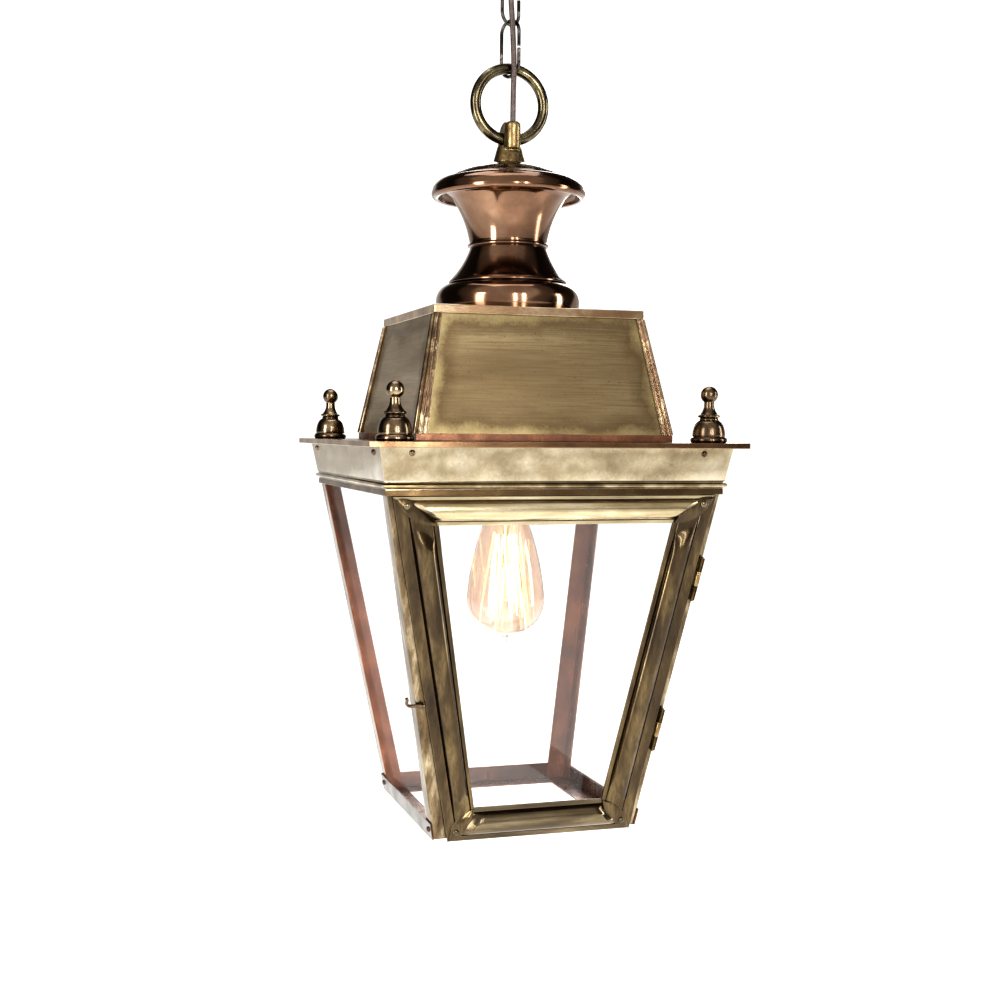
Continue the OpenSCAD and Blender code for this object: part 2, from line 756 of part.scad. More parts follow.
module door_stile_hinge() {
    color(dark_brass) difference() {
        union() {
            door_bar_lip(1);
            door_bar_moulding(1, moulding_d);
        }
        for (z = [hinge_upper_z, hinge_lower_z]) at_hinge(z)
            translate([0, 0, -hinge_l / 2 - 1]) cylinder(r = knuckle_d / 2 + hang_gap, h = hinge_l + 2);
    }
}

module door_rail_foot() {
    color(brass) {
        door_bar_lip(2);
        door_bar_moulding(2, door_foot_bar - 9);
    }
}

module door_stile_latch() {
    color(dark_brass) {
        door_bar_lip(3);
        door_bar_moulding(3, moulding_d);
    }
}

module door_glass() {
    color(clear) on_body(lip_in - pane_gap - pane_t, lip_in - pane_gap) polygon(door_inner(5));
}

// One domed rivet on each corner of the door's frame
module door_rivets() {
    color(brass) for (i = [0:3]) at_rivet(i) cylinder(r1 = 2.3, r2 = 1.5, h = 1.5, $fn = 24);
}

// ---- Hinges and latch ----

// Local frame of a hinge: its z axis is the pin, its x axis points out of the corner
module at_hinge(z) {
    translate([body_half(z) - pin_side, -body_half(z) - pin_front, z]) rotate([0, corner_tilt, -45]) children();
}

module knuckle(z0, h) {
    translate([0, 0, z0]) cylinder(d = knuckle_d, h = h);
}

module hinge_post_leaves() {
    third = hinge_l / 3;
    color(dark_brass) for (z = [hinge_upper_z, hinge_lower_z]) at_hinge(z) {
        difference() {
            union() {
                knuckle(-hinge_l / 2, third - knuckle_gap);
                knuckle(hinge_l / 2 - third + knuckle_gap, third - knuckle_gap);
                rotate([0, 0, 180 - corner_fold]) translate([0, -pin_side * cos(face_tilt) - leaf_t, -hinge_l / 2])
                    cube([leaf_w, leaf_t, hinge_l]);
            }
            translate([0, 0, -third / 2 - knuckle_gap])
                cylinder(r = knuckle_d / 2 + knuckle_gap, h = third + 2 * knuckle_gap);
        }
        cylinder(d = pin_d, h = hinge_l + 1.6, center = true);
    }
}

module hinge_door_leaves() {
    third = hinge_l / 3;
    leaf_y = (lip_in - pin_front) * cos(face_tilt) - door_leaf_t;
    color(dark_brass) for (z = [hinge_upper_z, hinge_lower_z]) at_hinge(z) difference() {
        union() {
            knuckle(-third / 2, third);
            rotate([0, 0, 180 + corner_fold]) {
                translate([hinge_side - pin_side, leaf_y, -hinge_l / 2])
                    cube([leaf_w - hinge_side + pin_side, door_leaf_t, hinge_l]);
                translate([0, leaf_y, knuckle_gap - third / 2]) cube([leaf_w, door_leaf_t, third - 2 * knuckle_gap]);
            }
        }
        translate([0, 0, -hinge_l]) cylinder(r = pin_d / 2 + run_gap, h = 2 * hinge_l);
    }
}

// Local frame of the latch: its z axis points out of the front face
module at_latch() {
    translate([-body_half(latch_z) + latch_side, -body_half(latch_z), latch_z]) rotate([90 + face_tilt, 0, 0]) children();
}

// A turning lever on the front left post: its nose stands against the door's edge, and its long arm
// passes the corner and is bent up as a thumb tab
module latch_lever() {
    arm_w = 3;
    arm_t = 1.2;
    arm_z = lip_in;
    reach = 11;
    tab_h = 8;
    nose = door_edge_at(latch_z) - latch_side - 2 * hang_gap;
    color(dark_brass) at_latch() {
        translate([0, 0, hang_gap]) cylinder(r = 2, h = arm_z + arm_t - hang_gap + 0.8);
        translate([-reach, -arm_w / 2, arm_z]) cube([reach + nose, arm_w, arm_t]);
        translate([-reach - arm_t + eps, -arm_w / 2, arm_z]) cube([arm_t, tab_h, arm_t]);
    }
}

// ---- Lamp ----

module lampholder() {
    r = holder_d / 2;
    sleeve_r = cap_thread_d / 2 + 0.5;
    color(iron) translate([0, 0, lamp_z]) difference() {
        revolve([
            [0, 28], [9, 28], [9, 22], [r - 4, 15], [r - 1.5, 9], [r - 1.5, -6], [r, -7], [r, -24], [r - 2, -26],
            [r - 4, -26], [sleeve_r, -24], [sleeve_r, 1], [0, 1],
        ]);
        translate([0, 0, 22]) cylinder(r = stem_r + pass_gap / 2, h = 10);
        translate([0, 0, 10]) cylinder(r = flex_d / 2 + pass_gap, h = 20);
    }
}

// Screw cap with its insulator and contact
module bulb_cap() {
    r = cap_thread_d / 2;
    color(brass) translate([0, 0, lamp_z]) revolve(concat(
        [[0, 0], [4.5, 0], [5, -1.5], [9, -3], [r - 1, -4.5]],
        [for (i = [0:5], s = [0, 1]) [r - (s == 0 ? 0.9 : 0), -5.5 - 3 * i - 1.5 * s]],
        [[r - 0.4, -23], [r - 0.4, -bulb_cap_h], [r - 1, -bulb_cap_h], [r - 1.4, -6], [0, -5]]
    ));
}

function bulb_outline(r_less) =
    let (
        neck_r = cap_thread_d / 2 - 1.7,
        wide_z = bulb_foot_z + bulb_d / 2 - 2
    )
    concat(
        [[neck_r - r_less, lamp_z - 15], [neck_r - r_less, lamp_z - bulb_cap_h - 2]],
        bow([neck_r + 0.3 - r_less, lamp_z - bulb_cap_h - 5], [bulb_d / 2 - 1.2 - r_less, wide_z + 13], 2.4, 12),
        sweep([0, wide_z], bulb_d / 2 - r_less, bulb_d / 2 - 2 - r_less, 8, -82, 14)
    );

// Teardrop envelope with a sealed tip at its foot
module bulb_glass() {
    wall = 0.9;
    color(clear) revolve(concat(
        bulb_outline(0),
        [[3.4, bulb_foot_z - 1], [2, bulb_foot_z - 4], [0.8, bulb_foot_z - 7], [0, bulb_foot_z - 7.5]],
        [[0, bulb_foot_z + wall]],
        reverse(bulb_outline(wall))
    ));
}

// Glass stem with its two hoops' carrier
module bulb_mount() {
    top = lamp_z - 20;
    color(clear) revolve([
        [0, top], [8, top], [8, top - 4], [4, top - 16], [3, top - 38], [1.2, top - 44], [1.2, top - 112], [0, top - 112],
    ]);
}

// Squirrel cage: a zigzag of thin wire strung between an upper and a lower circle
module bulb_filament() {
    strands = 12;
    head = [8, lamp_z - 60];
    foot = [14.5, lamp_z - 126];
    wire = 0.7;
    color([1, 0.75, 0.3]) for (i = [0:strands - 1]) {
        a = 360 * i / strands;
        b = 360 * (i + 1) / strands;
        up = i % 2 == 0;
        p = up ? [head.x * cos(a), head.x * sin(a), head.y] : [foot.x * cos(a), foot.x * sin(a), foot.y];
        q = up ? [foot.x * cos(b), foot.x * sin(b), foot.y] : [head.x * cos(b), head.x * sin(b), head.y];
        run = q - p;
        translate(p) rotate([0, acos(run.z / norm(run)), atan2(run.y, run.x)]) cylinder(d = wire, h = norm(run), $fn = 16);
        translate(p) sphere(d = wire + 0.1, $fn = 16);
    }
}

ceiling_plate();
ceiling_hook();
ceiling_grommet();
flex_cable();
chain_link(upper_z, upper_turn);  // chain_link_upper
chain_link(lower_z, lower_turn);  // chain_link_lower
suspension_ring();
hanging_eye();
flex_inner();
stem_tube();
stem_nuts();
cap_dome();
chimney_bell();
chimney_skirt();
chimney_base();
roof_crown();
roof_panel(0);  // roof_panel_front
roof_panel(1);  // roof_panel_right
roof_panel(2);  // roof_panel_back
roof_panel(3);  // roof_panel_left
roof_ribs();
roof_plinth();
deck_plate();
finial(0);  // finial_front_left
finial(1);  // finial_front_right
finial(2);  // finial_back_right
finial(3);  // finial_back_left
finial_nuts();
frieze(0);  // frieze_front
frieze(1);  // frieze_right
frieze(2);  // frieze_back
frieze(3);  // frieze_left
body_screws();
bead_moulding();
head_frame();
post(0);  // post_front_left
post(1);  // post_front_right
post(2);  // post_back_right
post(3);  // post_back_left
base_rail(0);  // base_rail_front
base_rail(1);  // base_rail_right
base_rail(2);  // base_rail_back
base_rail(3);  // base_rail_left
pane(1);  // pane_right
pane(2);  // pane_back
pane(3);  // pane_left
door_stile_latch();
door_stile_hinge();
door_rail_head();
door_rail_foot();
door_glass();
door_rivets();
hinge_post_leaves();
hinge_door_leaves();
latch_lever();
lampholder();
bulb_cap();
bulb_glass();
bulb_mount();
bulb_filament();
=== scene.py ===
import math
import bmesh
import bpy
from mathutils import Matrix, Vector


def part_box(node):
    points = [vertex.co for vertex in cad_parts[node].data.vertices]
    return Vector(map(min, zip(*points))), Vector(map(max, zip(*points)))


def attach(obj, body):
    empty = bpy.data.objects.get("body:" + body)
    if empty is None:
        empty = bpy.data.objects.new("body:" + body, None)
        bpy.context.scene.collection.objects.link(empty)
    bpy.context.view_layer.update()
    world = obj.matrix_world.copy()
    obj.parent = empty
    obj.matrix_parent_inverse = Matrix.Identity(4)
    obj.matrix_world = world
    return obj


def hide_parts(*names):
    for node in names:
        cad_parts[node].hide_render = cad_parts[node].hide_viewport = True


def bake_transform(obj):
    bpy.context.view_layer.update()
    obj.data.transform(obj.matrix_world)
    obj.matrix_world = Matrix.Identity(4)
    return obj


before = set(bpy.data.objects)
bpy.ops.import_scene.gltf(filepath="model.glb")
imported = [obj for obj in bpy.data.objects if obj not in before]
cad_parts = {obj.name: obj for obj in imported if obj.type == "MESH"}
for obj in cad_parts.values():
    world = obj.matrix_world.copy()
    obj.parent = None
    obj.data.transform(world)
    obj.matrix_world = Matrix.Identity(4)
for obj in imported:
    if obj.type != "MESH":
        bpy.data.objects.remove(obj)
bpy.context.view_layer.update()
scene = bpy.context.scene

# ---------------------------------------------------------------- camera, floor and light
# The lantern hangs in a plain studio over a pale floor. The camera looks slightly down at it from a
# little left of the door, and soft boxes to both sides draw the long highlights down the metal.

crown_lo, crown_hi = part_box("roof_crown")
roof_z = crown_hi.z


def aim(camera, place, turn, tilt, roll):
    """Turn is from +Y towards +X, tilt is upwards, and roll lifts the picture's right side."""
    across = Vector((math.cos(turn), -math.sin(turn), 0))
    ahead = Vector((math.sin(turn) * math.cos(tilt), math.cos(turn) * math.cos(tilt), math.sin(tilt)))
    up = across.cross(ahead)
    right = across * math.cos(roll) + up * math.sin(roll)
    top = up * math.cos(roll) - across * math.sin(roll)
    camera.matrix_world = Matrix.Translation(place) @ Matrix((right, top, -ahead)).transposed().to_4x4()


camera = bpy.data.objects.new("camera", bpy.data.cameras.new("camera"))
scene.collection.objects.link(camera)
camera.data.lens = 52.3
camera.data.clip_start, camera.data.clip_end = 0.02, 60
# The viewer stands left of the door, a little below the roof's crown
EYE_X, EYE_Y, EYE_DROP = -0.3583, -1.1284, 0.0936
TURN, TILT, ROLL = 17.37, -2.73, 0.49
aim(camera, Vector((EYE_X, EYE_Y, roof_z - EYE_DROP)), *(math.radians(a) for a in (TURN, TILT, ROLL)))
scene.camera = camera
scene.view_settings.view_transform = "Standard"
scene.view_settings.look = "Medium High Contrast"
scene.view_settings.exposure = 0.08


def linear(hexcode):
    """An sRGB hex colour as the linear RGBA that shaders take."""
    parts = [int(hexcode[i:i + 2], 16) / 255 for i in (1, 3, 5)]
    return tuple(c / 12.92 if c <= 0.04045 else ((c + 0.055) / 1.055) ** 2.4 for c in parts) + (1.0,)


def node(tree, kind, inputs=None, stops=(), **settings):
    """Adds one node with its settings and links. An input is a value, or another node's output socket.
    The stops are a colour ramp's: (place, hex colour)."""
    made = tree.nodes.new("ShaderNode" + kind)
    for name, value in settings.items():
        setattr(made, name, value)
    for name, value in (inputs or {}).items():
        if isinstance(value, bpy.types.NodeSocket):
            tree.links.new(value, made.inputs[name])
        else:
            made.inputs[name].default_value = value
    if stops:
        band = made.color_ramp.elements
        band[0].position, band[1].position = stops[0][0], stops[-1][0]
        for at, _ in stops[1:-1]:
            band.new(at)
        for element, (_, shade) in zip(band, stops):
            element.color = linear(shade)
    return made


# Soft boxes: where each stands, its size in metres and its watts. All of them face the lantern's middle
for name, stand, size, power in (
        ("box_left", (-1.7, -0.9, -0.2), (0.45, 1.6), 26),
        ("box_front_left", (-0.25, -2.3, 0.0), (0.16, 1.3), 14),
        ("box_front_right", (0.30, -2.3, 0.0), (0.16, 1.3), 14),
        ("box_right", (1.7, -0.6, -0.3), (0.3, 1.5), 15),
        ("box_above", (0.0, 0.2, 1.3), (1.3, 1.3), 14),
        ("box_behind", (0.9, 1.8, 0.2), (1.0, 1.4), 14)):
    lamp = bpy.data.lights.new(name, "AREA")
    lamp.shape = "RECTANGLE"
    lamp.size, lamp.size_y = size
    lamp.energy = power
    holder = bpy.data.objects.new(name, lamp)
    scene.collection.objects.link(holder)
    holder.location = stand
    holder.rotation_euler = (Vector((0, 0, -0.42)) - Vector(stand)).to_track_quat("-Z", "Y").to_euler()

world = bpy.data.worlds.new("studio")
scene.world = world
world.use_nodes = True
tree = world.node_tree
tree.nodes.clear()
# Metal mirrors a dim room, pale behind the viewer and behind the lantern. The camera itself sees white
direction = node(tree, "TexCoord").outputs["Generated"]
facing = node(tree, "VectorMath", {0: direction, 1: (-0.30, -0.78, 0.55)},
              operation="DOT_PRODUCT").outputs["Value"]
ahead = node(tree, "MapRange", {"Value": facing, "From Min": -1.0}).outputs["Result"]
room = node(tree, "ValToRGB", {"Fac": ahead}, [
    (0.0, "#d2ccc4"), (0.23, "#c2bcb4"), (0.28, "#3a3530"), (0.60, "#24201c"), (0.65, "#6b655e"),
    (0.80, "#8f8982"), (0.85, "#e2ded8"), (1.0, "#ece8e2")])
ray = node(tree, "LightPath").outputs
seen = node(tree, "Math", {0: ray["Is Camera Ray"], 1: ray["Is Transmission Ray"]},
            operation="MAXIMUM").outputs["Value"]
shown = node(tree, "Mix", {"Factor": seen, "A": room.outputs["Color"], "B": linear("#ffffff")},
             data_type="RGBA")
glow = node(tree, "Background", {"Color": shown.outputs["Result"], "Strength": 1.0})
tree.links.new(glow.outputs["Background"], node(tree, "OutputWorld").inputs["Surface"])

FLOOR_R, FLOOR_Z = 9.0, -1.35
floor_mesh = bmesh.new()
bmesh.ops.create_circle(floor_mesh, cap_ends=True, segments=96, radius=FLOOR_R,
                        matrix=Matrix.Translation((0, 0, FLOOR_Z)))
mesh = bpy.data.meshes.new("studio_floor")
floor_mesh.to_mesh(mesh)
floor = bpy.data.objects.new("studio_floor", mesh)
scene.collection.objects.link(floor)
paint = bpy.data.materials.new("pale_studio_paint")
paint.use_nodes = True
shader = paint.node_tree.nodes["Principled BSDF"]
shader.inputs["Base Color"].default_value = linear("#fefdfc")
shader.inputs["Roughness"].default_value = 0.9
shader.inputs["Emission Color"].default_value = linear("#ffffff")
shader.inputs["Emission Strength"].default_value = 0.75
mesh.materials.append(paint)

# ---------------------------------------------------------------- flex
# Round brown PVC flex, 4.4 mm across. It leaves the ceiling grommet, hangs in front of the chain and
# the ring, and goes down into the boss of the eye. It is cut at each hanging joint.

MM = 0.001


def smooth_line(points, step):
    """A Catmull-Rom curve through the points, in equal steps of about the given length."""
    fine = []
    ends = [points[0] * 2 - points[1]] + points + [points[-1] * 2 - points[-2]]
    for a, b, c, d in zip(ends, ends[1:], ends[2:], ends[3:]):
        count = max(1, round((c - b).length / step))
        for i in range(count):
            t = i / count
            fine.append(0.5 * ((2 * b) + (c - a) * t + (2 * a - 5 * b + 4 * c - d) * t ** 2
                               + (3 * b - a - 3 * c + d) * t ** 3))
    return fine + [points[-1]]


def tube(mesh_data, line, radius, sides, capped=True):
    """Sweeps a round section along a line: one ring is made, then extruded and turned step by step."""
    heading = (line[1] - line[0]).normalized()
    turn = Vector((0, 0, 1)).rotation_difference(heading).to_matrix().to_4x4()
    first = bmesh.ops.create_circle(mesh_data, cap_ends=False, segments=sides, radius=radius,
                                    matrix=Matrix.Translation(line[0]) @ turn)["verts"]
    ring = list({edge for vert in first for edge in vert.link_edges})
    starts = ring
    for i in range(1, len(line)):
        grown = bmesh.ops.extrude_edge_only(mesh_data, edges=ring)["geom"]
        verts = [g for g in grown if isinstance(g, bmesh.types.BMVert)]
        ring = [g for g in grown if isinstance(g, bmesh.types.BMEdge)]
        ahead = (line[min(i + 1, len(line) - 1)] - line[i - 1]).normalized()
        swing = heading.rotation_difference(ahead).to_matrix()
        bmesh.ops.translate(mesh_data, verts=verts, vec=line[i] - line[i - 1])
        bmesh.ops.rotate(mesh_data, verts=verts, cent=line[i], matrix=swing)
        heading = ahead
    if capped:
        bmesh.ops.holes_fill(mesh_data, edges=starts + ring, sides=0)


def settle(mesh_data, name, material, sharp=35):
    """Turns a bmesh into a smooth-shaded piece with crisp edges where faces meet at a sharp angle."""
    bmesh.ops.remove_doubles(mesh_data, verts=mesh_data.verts, dist=1e-6)
    bmesh.ops.recalc_face_normals(mesh_data, faces=mesh_data.faces)
    for face in mesh_data.faces:
        face.smooth = True
    for edge in mesh_data.edges:
        if len(edge.link_faces) == 2 and edge.calc_face_angle(0) > math.radians(sharp):
            edge.smooth = False
    data = bpy.data.meshes.new(name)
    mesh_data.to_mesh(data)
    mesh_data.free()
    data.materials.append(material)
    piece = bpy.data.objects.new(name, data)
    scene.collection.objects.link(piece)
    return piece


def finish_of(name):
    """A new material: itself, its node tree, its Principled shader and its Object coordinates."""
    made = bpy.data.materials.new(name)
    made.use_nodes = True
    tree = made.node_tree
    return made, tree, tree.nodes["Principled BSDF"], node(tree, "TexCoord").outputs["Object"]


# Plasticised PVC sheath, extruded: an even soft sheen, faint dust and fine lengthwise drag lines
pvc, tree, shader, spot = finish_of("brown_pvc_sheath")
dust = node(tree, "TexNoise", {"Vector": spot, "Scale": 160.0, "Detail": 5.0}).outputs["Fac"]
drag = node(tree, "Mapping", {"Vector": spot, "Scale": (2600.0, 2600.0, 60.0)}).outputs["Vector"]
lines = node(tree, "TexNoise", {"Vector": drag, "Scale": 1.0, "Detail": 2.0}).outputs["Fac"]
dusty = node(tree, "ValToRGB", {"Fac": dust}, [(0.3, "#2b201b"), (0.6, "#4a3a32"), (0.85, "#6a5a50")])
tree.links.new(dusty.outputs["Color"], shader.inputs["Base Color"])
gloss = node(tree, "MapRange", {"Value": dust, "To Min": 0.25, "To Max": 0.5}).outputs["Result"]
tree.links.new(gloss, shader.inputs["Roughness"])
bump = node(tree, "Bump", {"Height": lines, "Strength": 0.15, "Distance": 0.0001}).outputs["Normal"]
tree.links.new(bump, shader.inputs["Normal"])

# Its diameter, and how far in front of the chain it bends
FLEX_D, FLEX_FRONT = 0.0044, -0.009
route = [Vector(p) * MM for p in ((0, -16, -1), (0, -16, -8), (0, -15.6, -14), (0, -15, -20),
                                  (0, -13.5, -28), (-1, -11, -36), (-2, -8.5, -44), (-2, -7.5, -52),
                                  (-1.6, -7.5, -60), (-1, -8, -70), (-0.5, -8.4, -80), (0, -8.8, -92),
                                  (0.2, -9.4, -102), (0.2, -9.8, -110), (0.1, -9.8, -118), (0, -9.5, -127),
                                  (0, -9.2, -138), (0, -9, -146), (0, -9, -151), (0, -9, -157))]
flex_line = smooth_line(route, FLEX_D / 2)
# Heights where the flex is cut, then each part's two bodies and the heights between which it bends
cuts = [-0.0005, -0.052, -0.088, -0.120, -1.0]
hangs = [("ceiling", "upper_link", -0.024, -0.040), ("upper_link", "lower_link", -0.064, -0.081),
         ("lower_link", "ring", -0.104, -0.119), ("ring", "lantern", -0.122, -0.150)]
for i, (upper, lower, start, end) in enumerate(hangs):
    inside = [k for k, p in enumerate(flex_line) if cuts[i + 1] <= p.z <= cuts[i]]
    part = flex_line[inside[0]:min(inside[-1] + 2, len(flex_line))]
    data = bmesh.new()
    tube(data, part, FLEX_D / 2, 24)
    piece = settle(data, f"flex_{i + 1}", pvc, 60)
    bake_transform(piece)
    if i == 0:
        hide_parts("flex_cable")

# ---------------------------------------------------------------- ceiling plate, hook and chain
# A spun bronzed plate holds an iron hook by its nut. The links are bent from blackened iron wire and
# butted, not welded, so each has a small gap in one leg. Wire rubs bright where it hangs on wire.


# In mm: the grit, drawn coarser than real so that it shows, then how far a hollow's shade reaches
# and how wide an edge is rubbed
GRIT_MM, HOLLOW_REACH, RUB_REACH = 2.2, 6.0, 0.7


def worn_metal(name, dark, middle, bright, patch_mm, rough, speck="#2a2116", speck_share=0.2, relief=0.2,
               hollow=0.55, edge=0.35, brush=None, brush_mm=(0.5, 60), brush_share=0.3, wave_mm=0, wave=0.0,
               lacquer=0.0, metallic=1.0, shift=(0, 0, 0)):
    """Aged metal: patchy colour, dark specks, hollows left dark, edges rubbed bright, brushing and dents.
    The shares say how strongly each shows, and shift moves the pattern from one like piece to the next."""
    made, tree, shader, spot = finish_of(name)
    spot = node(tree, "Mapping", {"Vector": spot, "Location": shift}).outputs["Vector"]
    # Along the way a bar was drawn or brushed, its patches are drawn out too
    drawn_out = node(tree, "Mapping", {"Vector": spot, "Scale": [0.16 if axis == brush else 1
                                                                 for axis in "XYZ"]})
    patches = node(tree, "TexNoise", {"Vector": drawn_out.outputs["Vector"], "Scale": 1000 / patch_mm,
                                      "Detail": 6.0, "Roughness": 0.62, "Distortion": 0.15}).outputs["Fac"]
    colour = node(tree, "ValToRGB", {"Fac": patches}, [(0.28, dark), (0.50, middle),
                                                       (0.76, bright)]).outputs["Color"]
    grit = node(tree, "TexNoise", {"Vector": spot, "Scale": 1000 / GRIT_MM, "Detail": 3.0, "Roughness": 0.7})
    grit = grit.outputs["Fac"]
    specks = node(tree, "MapRange", {"Value": grit, "From Min": 0.60, "From Max": 0.74,
                                     "To Max": speck_share})
    # Hollows keep their brown, because the polishing mop can't reach them
    pit = node(tree, "AmbientOcclusion", {"Distance": HOLLOW_REACH * MM}, samples=4).outputs["AO"]
    pits = node(tree, "MapRange", {"Value": pit, "From Min": 0.35, "From Max": 0.95, "To Min": hollow,
                                   "To Max": 0.0})
    # Edges are rubbed bright: a rounded normal differs from the true one only near an edge
    soft = node(tree, "Bevel", {"Radius": RUB_REACH * MM}, samples=4).outputs["Normal"]
    true = node(tree, "NewGeometry").outputs["Normal"]
    apart = node(tree, "VectorMath", {0: soft, 1: true}, operation="DOT_PRODUCT").outputs["Value"]
    rubbed = node(tree, "MapRange", {"Value": apart, "From Min": 0.995, "From Max": 0.90, "To Max": edge})
    layers = [(specks, speck), (pits, speck), (rubbed, bright)]
    shader.inputs["Metallic"].default_value = metallic
    # Clear lacquer lays sharp white glints over the brown metal
    shader.inputs["Coat Weight"].default_value = lacquer
    shader.inputs["Coat Roughness"].default_value = 0.05
    roughness = node(tree, "MapRange", {"Value": patches, "From Min": 0.3, "From Max": 0.7,
                                        "To Min": rough[1], "To Max": rough[0]}).outputs["Result"]
    height = grit
    if brush:
        across, along = brush_mm
        scale = [1000 / along if axis == brush else 1000 / across for axis in "XYZ"]
        stretched = node(tree, "Mapping", {"Vector": spot, "Scale": scale}).outputs["Vector"]
        height = node(tree, "TexNoise", {"Vector": stretched, "Scale": 1.0, "Detail": 3.0, "Roughness": 0.6})
        height = height.outputs["Fac"]
        roughness = node(tree, "Math", {0: height, 1: 0.12, 2: roughness},
                         operation="MULTIPLY_ADD").outputs["Value"]
        drawn = node(tree, "MapRange", {"Value": height, "From Min": 0.42, "From Max": 0.68,
                                        "To Max": brush_share})
        layers.append((drawn, dark))
    for share, shade in layers:
        colour = node(tree, "Mix", {"Factor": share.outputs["Result"], "A": colour, "B": linear(shade)},
                      data_type="RGBA").outputs["Result"]
    tree.links.new(colour, shader.inputs["Base Color"])
    tree.links.new(roughness, shader.inputs["Roughness"])
    normal = node(tree, "Bump", {"Height": height, "Strength": relief, "Distance": 0.0002})
    if wave_mm:
        dents = node(tree, "TexNoise", {"Vector": spot, "Scale": 1000 / wave_mm,
                                        "Detail": 1.0}).outputs["Fac"]
        normal = node(tree, "Bump", {"Height": dents, "Strength": wave, "Distance": 0.002,
                                     "Normal": normal.outputs["Normal"]})
    tree.links.new(normal.outputs["Normal"], shader.inputs["Normal"])
    return made


def dress(name, material, sharp=32, bevel=0.0):
    """Gives a carried-over CAD node its finish, welds its loose triangles and, where asked, adds a fine
    broken edge. Its sharp angle is not used.
    """
    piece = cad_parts[name]
    piece.data.materials.clear()
    piece.data.materials.append(material)
    weld = piece.modifiers.new("weld", "WELD")
    weld.merge_threshold = 2e-6
    if bevel:
        broken = piece.modifiers.new("broken_edge", "BEVEL")
        broken.width = bevel
        broken.segments = 2
        broken.limit_method = "ANGLE"
        broken.angle_limit = math.radians(40)
        broken.harden_normals = True
    return piece


def stand_in_for(piece, body, slot, *nodes):
    """Fixes a piece to its body, in place of the CAD nodes it draws, which it hides. Its colour slot is not
    used.
    """
    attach(piece, body)
    if nodes:
        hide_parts(*nodes)
    return piece


def arc(p, q, sag, count=10):
    """Points of an arc from p to q, whose middle stands sag to the left of the straight line."""
    p, q = Vector(p), Vector(q)
    chord = q - p
    half = 2 * math.atan(2 * sag / chord.length)
    radius = chord.length / 2 / math.sin(half)
    along = chord.normalized()
    left = Vector((-along.y, along.x))
    centre = (p + q) / 2 - left * radius * math.cos(half)
    return [tuple(centre + radius * (left * math.cos(a) + along * math.sin(a)))
            for a in (half * (2 * i / count - 1) for i in range(count + 1))]


def ellipse(centre, rx, ry, start, end, count=12):
    """Points round part of an ellipse, from one angle to another in degrees."""
    turns = [math.radians(start + (end - start) * i / count) for i in range(count + 1)]
    return [(centre[0] + rx * math.cos(a), centre[1] + ry * math.sin(a)) for a in turns]


def turned(mesh_data, profile, centre, steps=96):
    """Spins a closed profile, given as (radius, height) in mm, about the vertical through centre."""
    verts = [mesh_data.verts.new(Vector((r * MM, 0, z * MM)) + Vector(centre)) for r, z in profile]
    edges = [mesh_data.edges.new((a, b)) for a, b in zip(verts, verts[1:] + verts[:1])
             if a.co.x - centre[0] > 1e-9 or b.co.x - centre[0] > 1e-9]
    bmesh.ops.spin(mesh_data, geom=verts + edges, cent=centre, axis=(0, 0, 1), angle=math.tau, steps=steps,
                   use_merge=True)
    bmesh.ops.remove_doubles(mesh_data, verts=mesh_data.verts, dist=1e-6)


bronze = worn_metal("dark_bronzed_brass", "#2a2019", "#594838", "#a08a70", 14, (0.14, 0.3), speck="#15100a",
                    relief=0.08)
iron = worn_metal("blackened_iron_wire", "#0b0a09", "#24211e", "#8a847a", 9, (0.25, 0.45), speck="#050505",
                  edge=0.1, hollow=0.3)

dress("ceiling_plate", bronze, bevel=0.0004)

# The wires are bent round a mandrel, so their section stays round and their ends are cropped square
HOOK_WIRE, LINK_WIRE, LINK_W, LINK_GAP = 4.0, 2.8, 22.0, 1.6


def on_plane(points, turn, middle_z):
    """Points (across, up) in mm, drawn on an upright plane turned from +X towards +Y, about the axis."""
    side = Vector((math.cos(turn), math.sin(turn), 0))
    return [side * a * MM + Vector((0, 0, middle_z + b * MM)) for a, b in points]


links_turn = math.radians(29)
hook_turn = links_turn - math.radians(90)
SHANK_R, NUT_R = 2.5, 7.0
loop_r = 9.0
loop_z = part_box("ceiling_hook")[0].z / MM + HOOK_WIRE / 2 + loop_r
bend = ellipse((0, 0), loop_r, loop_r, 30, -270, 40)
hook = bmesh.new()
tube(hook, on_plane(bend, hook_turn, loop_z * MM), HOOK_WIRE / 2 * MM, 24)
shank = -loop_z - loop_r
turned(hook, [(0, 0), (SHANK_R - 0.4, 0), (SHANK_R, 0.6), (SHANK_R, shank), (0, shank)],
       (0, 0, -shank * MM), 32)
# A hexagon nut below a thin lock nut, under the plate
for sunk in (5.4, 3.0):
    bmesh.ops.create_cone(hook, cap_ends=True, segments=6, radius1=NUT_R * MM, radius2=6.4 * MM,
                          depth=(sunk - 3 + 1.6) * MM, matrix=Matrix.Translation((0, 0, (-sunk - 0.4) * MM)))
stand_in_for(settle(hook, "ceiling_hook_wire", iron), "ceiling", "black_iron", "ceiling_hook")

